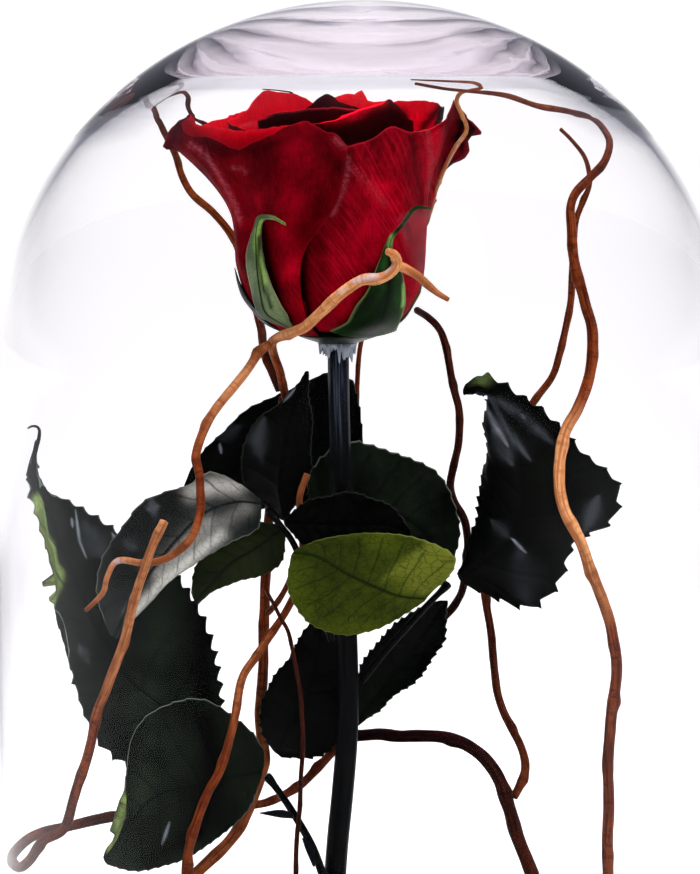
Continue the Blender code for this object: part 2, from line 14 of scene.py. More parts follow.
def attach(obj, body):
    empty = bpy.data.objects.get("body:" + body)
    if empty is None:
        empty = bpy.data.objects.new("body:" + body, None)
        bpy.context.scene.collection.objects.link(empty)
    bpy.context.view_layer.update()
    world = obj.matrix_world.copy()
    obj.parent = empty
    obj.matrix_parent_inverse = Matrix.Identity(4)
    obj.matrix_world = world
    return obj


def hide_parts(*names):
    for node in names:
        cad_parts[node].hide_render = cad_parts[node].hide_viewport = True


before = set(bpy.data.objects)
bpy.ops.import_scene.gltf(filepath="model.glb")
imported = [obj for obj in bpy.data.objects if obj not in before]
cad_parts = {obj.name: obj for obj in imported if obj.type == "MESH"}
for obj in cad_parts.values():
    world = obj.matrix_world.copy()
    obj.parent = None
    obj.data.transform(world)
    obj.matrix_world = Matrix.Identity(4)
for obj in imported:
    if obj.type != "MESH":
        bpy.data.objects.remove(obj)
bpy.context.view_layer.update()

MILLIMETRE = 0.001

# Base and dome, in millimetres.
BASE_RADIUS = 115.0
BASE_EDGE_HEIGHT = 16.0
PLATEAU_RADIUS = 96.4
PLATEAU_HEIGHT = 22.0
EDGE_ROUND = 3.0
DOME_RADIUS = 100.0
DOME_WALL = 2.5
DOME_CENTRE_HEIGHT = 220.0
LIP_HEIGHT = 1.2
REST_GAP = 0.3
PLANT_FOOT = PLATEAU_HEIGHT + 0.4
# How much steeper the dome's inside is than its outside, by degrees from the top.
CROWN_WEDGE = ((0, 0.0), (6, 2.0), (12, 4.9), (30, 7.9), (33, 8.5), (34.5, 8.0), (36, 7.3), (37, 2.3),
    (38, 1.0), (40, 0.2), (41.5, 0.0), (90, 0.0))
# How much thicker the crown is to the left and right, in millimetres.
CROWN_SIDES = ((0, 0.0), (20, 0.0), (30, 0.4), (38, 0.65), (42, 0.5), (46, 0.25), (50, 0.0), (90, 0.0))
CROWN_RIPPLE = 0.030
# Where the crown ends, and the strides that its thickness is summed in, in degrees.
CROWN_END = 50.0
CROWN_STRIDE = 0.5

# The front view that the spots are given in, and that the camera takes.
VIEW_DISTANCE = 900.0
VIEW_ELEVATION = radians(6.0)
VIEW_SCALE = 0.2686
VIEW_MIDDLE = (350.0, 437.0)
VIEW_WIDTH = 700
VIEW_TARGET = (-3.7, 203.4)
SENSOR = 36.0
LENS = SENSOR / (VIEW_WIDTH * VIEW_SCALE / VIEW_DISTANCE)

# The rose head.
ROSE_FOOT = (-7.0, 0.0, 231.0)
ROSE_LEAN = 1.2
PETAL_COUNT = 14
PETAL_THICKNESS = 0.45
INNER_SCALE = 0.10
INNER_LIFT = 15.0
CUP_HEIGHT = 66.0
# How far the outermost petals lie from the axis, by height.
CUP = ((0, 12.0), (3, 18.0), (7, 21.5), (11, 24.0), (18, 25.6), (26, 25.6), (36, 26.2), (42, 26.9),
    (46, 28.2), (50, 29.8), (55, 31.5), (60, 32.5), (70, 33.0))
# Where the outer petals flare out: angle, how narrowly, from what height, over what height, how far.
LEFT_FLARE = (182, 6.0, 30.0, 22.0, 11.0)
RIGHT_FLARE = (25, 8.0, 41.0, 12.0, 1.0)
STEM_RADIUS = 2.95

# The floor's half width in metres.
FLOOR_HALF = 14.0

# Soft lights: place and size in metres, and radiance.
SOFTBOXES = {
    "key_softbox": ((0.60, -1.05, 1.30), (0.6, 0.6), 10.0),
    "left_softbox": ((-1.3, -0.5, 0.8), (0.4, 0.8), 3.0),
    "right_softbox": ((1.35, -0.3, 0.6), (0.4, 0.8), 4.0),
    "top_softbox": ((0.0, -0.1, 1.5), (0.9, 0.7), 9.0),
}
LIGHT_AIM = Vector((0.0, 0.0, 0.25))

# How often light may bounce, and how often off shiny surfaces.
BOUNCES = 20
GLOSSY_BOUNCES = 16

# How fine the meshes are.
TURN_STEPS = 160
DOME_TURNS = 220
TWIG_STEPS = 160
TWIG_SIDES = 12
TWIG_PITCH = 1.1
STEM_SIDES = 28
STEM_STEPS = 150
STALK_STEPS = 50
STALK_SIDES = 10
STIPULE_STEPS = (12, 4)
TIP_STEPS = 40
HIP_TURNS = 48
GLUE_TURNS = 120
RIDGE_STEPS = 30
CURVE_PIECES = 12
WALL_STEPS = 24
LIP_STEPS = 10
LEAF_STEPS = (150, 40)
FINE_LEAVES = {"leaf_far_left": (210, 110), "leaf_low_left": (180, 90), "leaf_right": (210, 80)}
PETAL_STEPS = (60, 56)
SEPAL_STEPS = (44, 12)
LEAF_THICKNESS = 0.4
SEPAL_THICKNESS = 0.5


def seeded(name):
    """A random source of its own for each piece."""
    return random.Random(sum((i + 1) * ord(c) for i, c in enumerate(name)))


def spot(across, down, depth):
    """The place in millimetres that the front view shows at this spot and depth."""
    near = VIEW_DISTANCE * cos(VIEW_ELEVATION)
    high = VIEW_TARGET[1] + VIEW_DISTANCE * sin(VIEW_ELEVATION)
    side = (across - VIEW_MIDDLE[0]) * VIEW_SCALE / VIEW_DISTANCE
    up = (VIEW_MIDDLE[1] - down) * VIEW_SCALE / VIEW_DISTANCE
    forward = cos(VIEW_ELEVATION) + up * sin(VIEW_ELEVATION)
    rise = -sin(VIEW_ELEVATION) + up * cos(VIEW_ELEVATION)
    reach = (depth + near) / forward
    return Vector((VIEW_TARGET[0] + reach * side, depth, high + reach * rise))


def smooth_path(points, steps):
    """Evenly stepped places along a smooth curve through the points."""
    ends = [points[0] * 2 - points[1]] + list(points) + [points[-1] * 2 - points[-2]]
    fine = []
    for i in range(1, len(ends) - 2):
        a, b, c, d = ends[i - 1], ends[i], ends[i + 1], ends[i + 2]
        for k in range(CURVE_PIECES):
            t = k / CURVE_PIECES
            fine.append(0.5 * (2 * b + (c - a) * t + (2 * a - 5 * b + 4 * c - d) * t * t
                               + (3 * b - a - 3 * c + d) * t ** 3))
    fine.append(points[-1].copy())
    run = [0.0]
    for p, q in zip(fine, fine[1:]):
        run.append(run[-1] + (q - p).length)
    placed = []
    j = 0
    for i in range(steps + 1):
        want = run[-1] * i / steps
        while j < len(run) - 2 and run[j + 1] < want:
            j += 1
        share = (want - run[j]) / max(run[j + 1] - run[j], 1e-9)
        placed.append(fine[j].lerp(fine[j + 1], min(max(share, 0.0), 1.0)))
    return placed


def seen_path(line, steps):
    """Evenly stepped places along a curve through spots of the front view."""
    return smooth_path([spot(*p) for p in line], steps)


def shares(steps):
    """Evenly spaced shares across a sheet from -1 to 1."""
    return [-1 + 2 * j / steps for j in range(steps + 1)]


def length_of(path):
    return sum((q - p).length for p, q in zip(path, path[1:]))


def between(table, x):
    """The value at x on straight lines between the table's pairs."""
    for (x0, y0), (x1, y1) in zip(table, table[1:]):
        if x <= x1:
            return y0 + (y1 - y0) * (x - x0) / (x1 - x0)
    return table[-1][1]


def eased(table, x):
    """The value at x on a smooth curve through the table's pairs."""
    last = len(table) - 1
    x = min(max(x, table[0][0]), table[-1][0])
    i = 0
    while i < last - 1 and x > table[i + 1][0]:
        i += 1
    (x0, y0), (x1, y1) = table[i], table[i + 1]
    before = table[max(i - 1, 0)]
    after = table[min(i + 2, last)]
    m0 = (y1 - before[1]) / (x1 - before[0])
    m1 = (after[1] - y0) / (after[0] - x0)
    wide = x1 - x0
    t = (x - x0) / wide
    return ((2 * t ** 3 - 3 * t * t + 1) * y0 + (t ** 3 - 2 * t * t + t) * wide * m0
            + (3 * t * t - 2 * t ** 3) * y1 + (t ** 3 - t * t) * wide * m1)


def step(low, top, x):
    """Zero below low, one above top, smooth between."""
    t = min(max((x - low) / (top - low), 0.0), 1.0)
    return t * t * (3 - 2 * t)


def rough_at(x, y, z):
    """Smooth noise about zero at this place."""
    return noise.noise(Vector((x, y, z)))


def in_scene(name, data):
    """A new object in the scene with this mesh, light or camera."""
    made = bpy.data.objects.new(name, data)
    bpy.context.scene.collection.objects.link(made)
    return made


def add_piece(name, points, faces, looks, slot, values=None):
    """A smooth mesh piece in place of the CAD node of the same name."""
    mesh = bpy.data.meshes.new(name)
    mesh.from_pydata([[c * MILLIMETRE for c in p] for p in points], [], faces)
    mesh.update()
    for key, numbers in (values or {}).items():
        mesh.attributes.new(key, "FLOAT", "POINT").data.foreach_set("value", numbers)
    made = in_scene(name + "_look", mesh)
    mesh.materials.append(looks)
    for polygon in mesh.polygons:
        polygon.use_smooth = True
    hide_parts(name)
    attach(made, "root")
    return made


def sheet(rows, thickness, edge=1.0):
    """Points and faces of a thin closed sheet with its middle on the grid of rows. edge is the share
    of the thickness that is left at its border."""
    high = len(rows) - 1
    wide = len(rows[0]) - 1
    front = []
    back = []
    for i in range(high + 1):
        for j in range(wide + 1):
            up = rows[min(i + 1, high)][j] - rows[max(i - 1, 0)][j]
            over = rows[i][min(j + 1, wide)] - rows[i][max(j - 1, 0)]
            inward = min((high - i) / 6, j / 2, (wide - j) / 2, 1.0)
            offset = over.cross(up).normalized() * thickness / 2 * (edge + (1 - edge) * inward)
            front.append(rows[i][j] + offset)
            back.append(rows[i][j] - offset)
    count = len(front)
    faces = []
    for i in range(high):
        for j in range(wide):
            a = i * (wide + 1) + j
            b = a + 1
            c = a + wide + 2
            d = a + wide + 1
            faces += [(a, b, c, d), (count + d, count + c, count + b, count + a)]
    border = list(range(wide))
    border += [i * (wide + 1) + wide for i in range(high)]
    border += [high * (wide + 1) + j for j in range(wide, 0, -1)]
    border += [i * (wide + 1) for i in range(high, 0, -1)]
    for a, b in zip(border, border[1:] + border[:1]):
        faces.append((b, a, count + a, count + b))
    return front + back, faces


def shown(p):
    """Where the front view shows this place: across and down."""
    rise = p.z - VIEW_TARGET[1]
    far = VIEW_DISTANCE + p.y * cos(VIEW_ELEVATION) - rise * sin(VIEW_ELEVATION)
    up = rise * cos(VIEW_ELEVATION) + p.y * sin(VIEW_ELEVATION)
    scale = VIEW_DISTANCE / far / VIEW_SCALE
    return Vector((VIEW_MIDDLE[0] + (p.x - VIEW_TARGET[0]) * scale, VIEW_MIDDLE[1] - up * scale))


def off_line(place, line):
    """How far the place lies from the line in the front view, and how far along it, 0 to 1."""
    found = (1e9, 0.0)
    for k, (a, b) in enumerate(zip(line, line[1:])):
        way = b - a
        t = min(max((place - a).dot(way) / way.length_squared, 0.0), 1.0)
        found = min(found, ((place - a - way * t).length, (k + t) / (len(line) - 1)))
    return found


def painted(rows, strokes, base=0.0, thinned=0.0):
    """base plus soft strokes at every place: each has spots in the front view, a half width in the
    same units and a strength. thinned is how much thinner a stroke is at its ends, 0 to 1."""
    places = [shown(p) for row in rows for p in row]
    total = [base] * len(places)
    for spots, wide, strength in strokes:
        line = [Vector(s) for s in spots]
        reach = 2.5 * wide
        left = min(q.x for q in line) - reach
        right = max(q.x for q in line) + reach
        top = min(q.y for q in line) - reach
        low = max(q.y for q in line) + reach
        for k, q in enumerate(places):
            if left < q.x < right and top < q.y < low:
                far, share = off_line(q, line)
                broad = wide * (1 - thinned + thinned * sin(pi * share))
                total[k] += strength * exp(-(far / broad) ** 2)
    return [max(value, 0.0) for value in total]


def joined(parts):
    """One mesh from several (points, faces, values) parts."""
    points = []
    faces = []
    values = {}
    for some, more, numbers in parts:
        shift = len(points)
        points += some
        faces += [tuple(k + shift for k in face) for face in more]
        for key, list_of in numbers.items():
            values.setdefault(key, []).extend(list_of)
    return points, faces, values


def both_sides(**values):
    """The same numbers for the front and the back of a sheet, by name."""
    return {key: numbers + numbers for key, numbers in values.items()}


def turned(rings, steps):
    """Points and faces of a closed shape turned from rings of (radius, height)."""
    points = []
    made = []
    for radius, height in rings:
        if radius < 1e-6:
            made.append([len(points)])
            points.append(Vector((0, 0, height)))
            continue
        made.append([len(points) + k for k in range(steps)])
        for k in range(steps):
            turn = 2 * pi * k / steps
            points.append(Vector((radius * cos(turn), radius * sin(turn), height)))
    faces = []
    for low, top in zip(made, made[1:]):
        for k in range(steps):
            n = (k + 1) % steps
            if len(low) == 1:
                faces.append((low[0], top[n], top[k]))
            elif len(top) == 1:
                faces.append((low[k], low[n], top[0]))
            else:
                faces.append((low[k], low[n], top[n], top[k]))
    return points, faces


# Materials.

# Skins of leaves and sepals: two ground colours, veins and edge, then roughness, strength of the net
# of fine veins, gloss, and the colour of pale parts. On the silver leaf the pale colour is a painted
# sheen, and the lit leaf's own yellow-green is brightened to paint the light shining through it.
PALE_GREEN = (0.20, 0.28, 0.09)
SKINS = {
    "sepal_skin": ((0.034, 0.058, 0.022), (0.21, 0.29, 0.14), (0.003, 0.006, 0.002),
        (0.56, 0.56, 0.30), 0.55, 0.2, 0.06, (0.30, 0.52, 0.10)),
    "sepal_dark_skin": ((0.0010, 0.0045, 0.0008), (0.010, 0.042, 0.006), (0.001, 0.003, 0.001),
        (0.16, 0.22, 0.08), 0.50, 0.2, 0.06, (0.18, 0.34, 0.08)),
    "hip_skin": ((0.0010, 0.0030, 0.0008), (0.005, 0.014, 0.003), (0.001, 0.003, 0.001),
        (0.42, 0.43, 0.46), 0.35, 0.2, 0.3, PALE_GREEN),
    "dark_leaf": ((0.0003, 0.0007, 0.0004), (0.0028, 0.0044, 0.0024), (0.0003, 0.0006, 0.0004),
        (0.050, 0.062, 0.050), 0.40, 0.35, 0.04, PALE_GREEN),
    "painted_sheen_leaf": ((0.004, 0.0065, 0.0068), (0.028, 0.036, 0.032), (0.002, 0.004, 0.004),
        (0.24, 0.26, 0.20), 0.40, 0.35, 0.12, (0.66, 0.65, 0.60)),
    "lit_leaf": ((0.022, 0.034, 0.0012), (0.075, 0.100, 0.0045), (0.006, 0.014, 0.001),
        (0.20, 0.24, 0.045), 0.42, 0.6, 0.05, (0.150, 0.175, 0.016)),
    "olive_leaf": ((0.004, 0.008, 0.001), (0.018, 0.030, 0.004), (0.002, 0.004, 0.001),
        (0.08, 0.10, 0.03), 0.42, 0.35, 0.12, PALE_GREEN),
}
# The skin and the material slot of a leaf. The others are dark.
LEAF_SKINS = {
    "leaf_silver": ("painted_sheen_leaf", "leaf_silver"), "leaf_lit": ("lit_leaf", "leaf_lit"),
    "leaf_olive": ("olive_leaf", "leaf_lit"),
}
DARK_LEAF = ("dark_leaf", "leaf_dark")


def put(tree, kind, inputs=None, **settings):
    """A new node. An input is a plain value or another node's output."""
    made = tree.nodes.new("ShaderNode" + kind)
    for key, value in settings.items():
        setattr(made, key, value)
    for key, value in (inputs or {}).items():
        if isinstance(value, bpy.types.NodeSocket):
            tree.links.new(value, made.inputs[key])
        else:
            made.inputs[key].default_value = value
    return made


def start(name, rough, **sockets):
    """A new material: its tree and its Principled shader. Socket names have _ for a space."""
    made = bpy.data.materials.new(name)
    made.use_nodes = True
    shader = made.node_tree.nodes["Principled BSDF"]
    shader.inputs["Roughness"].default_value = rough
    for key, value in sockets.items():
        shader.inputs[key.replace("_", " ")].default_value = value
    return made, made.node_tree, shader


def value_of(tree, name):
    """The numbers that a mesh carries under this name."""
    return put(tree, "Attribute", attribute_name=name).outputs["Fac"]


def maths(tree, operation, a, b=0.0):
    return put(tree, "Math", {0: a, 1: b}, operation=operation).outputs[0]


def times(tree, a, b):
    return maths(tree, "MULTIPLY", a, b)


def ramp(tree, factor, *stops):
    """A colour ramp from (place, colour) stops. A plain number is a grey."""
    made = put(tree, "ValToRGB", {"Fac": factor})
    line = made.color_ramp.elements
    while len(line) < len(stops):
        line.new(0.5)
    for element, (place, colour) in zip(line, stops):
        element.position = place
        if isinstance(colour, (int, float)):
            colour = (colour, colour, colour)
        element.color = (*colour, 1.0)
    return made.outputs["Color"]


def blend(tree, factor, a, b, kind="MIX"):
    """A mix of two colours or greys by the factor."""
    made = put(tree, "Mix", data_type="RGBA", blend_type=kind)
    for index, value in ((0, factor), (6, a), (7, b)):
        if isinstance(value, bpy.types.NodeSocket):
            tree.links.new(value, made.inputs[index])
        elif index:
            made.inputs[index].default_value = (*value, 1.0)
        else:
            made.inputs[index].default_value = value
    return made.outputs[2]


def grained(tree, x, y, z, detail=4.0, rough=0.6):
    """Noise from 0 to 1 at a place given as three numbers."""
    place = put(tree, "CombineXYZ", {0: x, 1: y, 2: z}).outputs[0]
    made = put(tree, "TexNoise", {"Vector": place, "Scale": 1.0, "Detail": detail,
                                  "Roughness": rough})
    return made.outputs["Fac"]


def patches(tree, scale, detail=3.0, rough=0.55):
    """Noise in space, from 0 to 1."""
    place = put(tree, "TexCoord").outputs["Object"]
    return put(tree, "TexNoise", {"Vector": place, "Scale": scale, "Detail": detail,
                                  "Roughness": rough}).outputs["Fac"]


def along_grain(tree, across, run, z, detail=4.0, rough=0.6):
    """Noise stretched along a piece. across and run are (numbers, scale) pairs."""
    return grained(tree, times(tree, *across), times(tree, *run), z, detail, rough)


def relief(tree, shader, height, strength, distance):
    """A relief on the surface. distance is in metres."""
    made = put(tree, "Bump", {"Height": height, "Strength": strength, "Distance": distance})
    tree.links.new(made.outputs[0], shader.inputs["Normal"])


def petal_material():
    """Deep red velvet with streaks along the petal, painted light and shade, and painted highlights
    along the rims, in slanted pale streaks and in pale lines.
    """
    made, tree, shader = start("petal_velvet", 0.6, Specular_IOR_Level=0.02, Sheen_Weight=0.02,
                               Sheen_Roughness=0.4, Sheen_Tint=(1.0, 0.06, 0.15, 1.0),
                               Specular_Tint=(1.0, 0.15, 0.25, 1.0))
    run = value_of(tree, "run")
    side = value_of(tree, "side")
    tone = times(tree, value_of(tree, "tone"), 37.0)
    fine = along_grain(tree, (side, 2.4), (run, 0.16), tone, 6.0, 0.68)
    weave = along_grain(tree, (side, 0.5), (run, 2.2), tone, 4.0, 0.6)
    broad = along_grain(tree, (side, 0.13), (run, 0.06), tone, 3.0)
    cloud = patches(tree, 75.0, 6.0, 0.66)
    woven = blend(tree, 0.25, fine, weave)
    streak = ramp(tree, blend(tree, 0.55, woven, cloud), (0.38, 0.0), (0.62, 1.0))
    deep = blend(tree, ramp(tree, broad, (0.35, 0.0), (0.65, 1.0)), (0.030, 0.0, 0.0008),
                 (0.100, 0.0001, 0.0024))
    bright = blend(tree, ramp(tree, cloud, (0.35, 0.0), (0.65, 1.0)), (0.190, 0.0002, 0.0040),
                   (0.360, 0.0006, 0.0100))
    outer = blend(tree, streak, deep, bright)
    inner = blend(tree, streak, (0.42, 0.0002, 0.0050), (0.80, 0.0008, 0.0140))
    face = blend(tree, value_of(tree, "inner"), outer, inner)
    # Painted highlight: slanted pale streaks veil the face, as strongly as the petal's streak number.
    slant = maths(tree, "ADD", side, times(tree, run, 0.75))
    slanted_streak = along_grain(tree, (slant, 1.5), (run, 0.09), maths(tree, "ADD", tone, 9.0), 6.0, 0.72)
    worn = ramp(tree, slanted_streak, (0.50, 0.0), (0.70, 0.62))
    veiled = blend(tree, times(tree, worn, value_of(tree, "worn")), face,
                   (0.52, 0.004, 0.022))
    # Painted light and shade: the colour times the light numbers.
    shaded = blend(tree, 1.0, veiled, value_of(tree, "light"), "MULTIPLY")
    # Painted highlight along the rim.
    lit = blend(tree, value_of(tree, "rim"), shaded, (0.62, 0.030, 0.060))
    # Pale lines of painted highlight along creases and edges.
    broken = ramp(tree, blend(tree, 0.5, slanted_streak, weave), (0.42, 0.25), (0.56, 1.0))
    chalk = times(tree, value_of(tree, "chalk"), broken)
    tree.links.new(blend(tree, chalk, lit, (0.50, 0.095, 0.130)), shader.inputs["Base Color"])
    height = blend(tree, 0.4, ramp(tree, woven, (0.3, 0.0), (0.7, 1.0)),
                   ramp(tree, patches(tree, 1400.0, 2.0), (0.3, 0.0), (0.7, 1.0)))
    relief(tree, shader, height, 0.6, 0.00035)
    return made


def leaf_material(name, deep, mid, vein, edge, rough, net, gloss, pale):
    """A leaf's skin: two ground colours, veins, a net of fine ones, a paler edge, pale parts that are a
    painted sheen on the silver leaf, painted light and shade, and chalky marks that are partly painted
    sheen.
    """
    made, tree, shader = start(name, rough, Specular_IOR_Level=gloss)
    run = value_of(tree, "run")
    side = value_of(tree, "side")
    place = put(tree, "CombineXYZ", {0: run, 1: side, 2: 0.0}).outputs[0]
    cells = put(tree, "TexVoronoi", {"Vector": place, "Scale": 0.52, "Randomness": 1.0},
                feature="DISTANCE_TO_EDGE").outputs["Distance"]
    lines = ramp(tree, cells, (0.0, 1.0), (0.07, 0.0))
    cloud = ramp(tree, patches(tree, 70.0, 4.0), (0.36, 0.0), (0.66, 1.0))
    fine = ramp(tree, patches(tree, 1600.0, 4.0), (0.3, 0.0), (0.7, 1.0))
    ground = blend(tree, blend(tree, 0.2, cloud, fine), deep, mid)
    lighter = blend(tree, value_of(tree, "pale"), ground, pale)
    netted = blend(tree, times(tree, lines, net), lighter, vein)
    veined = blend(tree, ramp(tree, value_of(tree, "vein"), (0.25, 0.0), (0.9, 1.0)), netted, vein)
    edged = blend(tree, ramp(tree, value_of(tree, "rim"), (0.55, 0.0), (0.95, 0.8)), veined, edge)
    flecks = along_grain(tree, (run, 1.3), (side, 0.35), 4.0, 6.0, 0.75)
    worn = ramp(tree, flecks, (0.68, 0.0), (0.80, 0.4))
    # Painted light and shade: the colour times the light numbers.
    lit = blend(tree, 1.0, blend(tree, worn, edged, edge), value_of(tree, "light"), "MULTIPLY")
    # Chalky blue-white marks: partly white scratches, partly painted sheen and highlights.
    broken = ramp(tree, blend(tree, 0.5, flecks, cloud), (0.30, 0.35), (0.60, 1.0))
    chalk = times(tree, value_of(tree, "chalk"), broken)
    tree.links.new(blend(tree, chalk, lit, (0.50, 0.56, 0.66)), shader.inputs["Base Color"])
    tree.links.new(ramp(tree, cloud, (0.0, rough * 0.8), (1.0, min(rough * 1.3, 1.0))),
                   shader.inputs["Roughness"])
    height = blend(tree, 0.4, lines, patches(tree, 240.0, 2.0))
    relief(tree, shader, height, 0.25, 0.00010)
    return made


def bark_material():
    """Bark from nearly black to orange-tan by the tone, with darker rings."""
    made, tree, shader = start("willow_bark_skin", 0.45, Specular_IOR_Level=0.06)
    run = value_of(tree, "run")
    turn = value_of(tree, "side")
    tone = value_of(tree, "tone")
    long = along_grain(tree, (turn, 1.6), (run, 0.09), tone, 5.0, 0.62)
    rings = along_grain(tree, (turn, 0.4), (run, 0.8), tone, 4.0, 0.6)
    dark = ramp(tree, tone, (0.0, (0.0016, 0.0003, 0.0005)), (0.5, (0.080, 0.010, 0.002)),
                (1.0, (0.56, 0.180, 0.060)))
    light = ramp(tree, tone, (0.0, (0.014, 0.0012, 0.002)), (0.5, (0.310, 0.062, 0.014)),
                 (1.0, (0.96, 0.470, 0.200)))
    mixed = blend(tree, ramp(tree, long, (0.41, 0.0), (0.60, 1.0)), dark, light)
    ringed = blend(tree, ramp(tree, rings, (0.34, 0.80), (0.50, 0.0)), mixed, dark)
    burnt = blend(tree, 1.0, dark, (0.35, 0.30, 0.30), "MULTIPLY")
    node = blend(tree, value_of(tree, "rim"), ringed, burnt)
    scar = times(tree, value_of(tree, "chalk"), ramp(tree, rings, (0.35, 0.4), (0.55, 1.0)))
    tree.links.new(blend(tree, scar, node, (0.66, 0.62, 0.68)), shader.inputs["Base Color"])
    relief(tree, shader, blend(tree, 0.5, long, rings), 0.7, 0.00045)
    return made


def stem_material():
    """A nearly black stem with pale bluish-white streaks of painted highlight where the tone is high.
    """
    made, tree, shader = start("stem_skin", 0.34, Specular_IOR_Level=0.07)
    run = value_of(tree, "run")
    turn = value_of(tree, "side")
    long = along_grain(tree, (turn, 1.9), (run, 0.02), 0.0, 5.0, 0.6)
    spots = along_grain(tree, (turn, 0.8), (run, 0.25), 3.0, 5.0, 0.7)
    plain = ramp(tree, long, (0.34, (0.0002, 0.0003, 0.0004)), (0.56, (0.0006, 0.0008, 0.0011)),
                 (0.72, (0.0022, 0.0030, 0.0042)))
    # Painted highlight: pale bluish-white streaks, shown where the tone is high near the head.
    pale = ramp(tree, long, (0.34, (0.0008, 0.0012, 0.0020)), (0.50, (0.0060, 0.0085, 0.0140)),
                (0.66, (0.085, 0.105, 0.150)))
    tint = blend(tree, value_of(tree, "tone"), plain, pale)
    worn = ramp(tree, spots, (0.66, 0.0), (0.82, 0.5))
    tree.links.new(blend(tree, worn, tint, (0.034, 0.030, 0.030)), shader.inputs["Base Color"])
    relief(tree, shader, long, 0.6, 0.00040)
    return made


def wood_material():
    """Dark turned wood with its grain along the base."""
    made, tree, shader = start("turned_wood", 0.38, Specular_IOR_Level=0.45, Coat_Weight=0.15,
                               Coat_Roughness=0.3)
    place = put(tree, "TexCoord").outputs["Object"]
    shift = put(tree, "Mapping", {"Vector": place, "Location": (0.03, 0.41, 0.0),
                                  "Scale": (7.0, 60.0, 60.0)}).outputs[0]
    grain = put(tree, "TexNoise", {"Vector": shift, "Scale": 1.0, "Detail": 8.0,
                                   "Roughness": 0.62, "Distortion": 0.6}).outputs["Fac"]
    rings = put(tree, "TexWave", {"Vector": shift, "Scale": 0.16, "Distortion": 7.0,
                                  "Detail": 4.0, "Detail Scale": 0.7},
                wave_type="BANDS", bands_direction="Y").outputs["Fac"]
    pores = put(tree, "Mapping", {"Vector": place, "Scale": (40.0, 900.0, 900.0)}).outputs[0]
    fine = put(tree, "TexNoise", {"Vector": pores, "Scale": 1.0, "Detail": 3.0}).outputs["Fac"]
    tint = ramp(tree, grain, (0.30, (0.030, 0.012, 0.006)), (0.52, (0.095, 0.040, 0.018)),
                (0.74, (0.190, 0.090, 0.042)))
    banded = blend(tree, ramp(tree, rings, (0.2, 0.0), (0.9, 0.55)), tint, (0.040, 0.016, 0.008))
    pored = blend(tree, ramp(tree, fine, (0.30, 0.7), (0.42, 0.0)), banded, (0.015, 0.007, 0.004))
    tree.links.new(pored, shader.inputs["Base Color"])
    relief(tree, shader, blend(tree, 0.5, grain, fine), 0.4, 0.00030)
    return made


def glass_material():
    """Clear glass that darkens slightly where it is thick."""
    made, tree, _ = start("clear_glass", 0.0, Transmission_Weight=1.0, IOR=1.46,
                          Specular_Tint=(0.012, 0.012, 0.013, 1.0),
                          Base_Color=(0.995, 0.989, 0.995, 1.0))
    thick = put(tree, "VolumeAbsorption", {"Color": (0.69, 0.56, 0.67, 1.0), "Density": 7.5})
    tree.links.new(thick.outputs[0], tree.nodes["Material Output"].inputs["Volume"])
    return made


# The base and the dome.


def make_base(looks):
    """A turned base with a rounded edge, a groove and a raised plateau."""
    top = PLATEAU_HEIGHT
    edge = BASE_EDGE_HEIGHT
    r = EDGE_ROUND
    rings = [(0, 0), (BASE_RADIUS - 2.4, 0), (BASE_RADIUS - 1.0, 0.3), (BASE_RADIUS - 0.2, 1.0),
             (BASE_RADIUS, 2.0), (BASE_RADIUS, edge - r)]
    rings += [(BASE_RADIUS - r + r * cos(a), edge - r + r * sin(a))
              for a in [pi / 2 * k / 8 for k in range(1, 9)]]
    rings += [(BASE_RADIUS - 6.0, edge), (BASE_RADIUS - 6.4, edge - 0.25),
              (BASE_RADIUS - 7.2, edge - 0.25), (BASE_RADIUS - 7.6, edge),
              (PLATEAU_RADIUS + 0.5, edge), (PLATEAU_RADIUS, edge + 0.3)]
    rings += [(PLATEAU_RADIUS - 0.8 + 0.8 * cos(a), top - 0.8 + 0.8 * sin(a))
              for a in [pi / 2 * k / 5 for k in range(6)]]
    rings += [(PLATEAU_RADIUS * k / 12, top) for k in range(11, 0, -1)] + [(0, top)]
    add_piece("base", *turned(rings, TURN_STEPS), looks, "wood_base")


def crown_wall(tilt):
    """Wall thickness of the dome at this angle from its top, in degrees."""
    wall = DOME_WALL
    at = CROWN_END
    while at > tilt + 1e-6:
        stride = min(CROWN_STRIDE, at - tilt)
        slope = tan(radians(between(CROWN_WEDGE, at - stride / 2)))
        wall += slope * DOME_RADIUS * radians(stride)
        at -= stride
    return wall


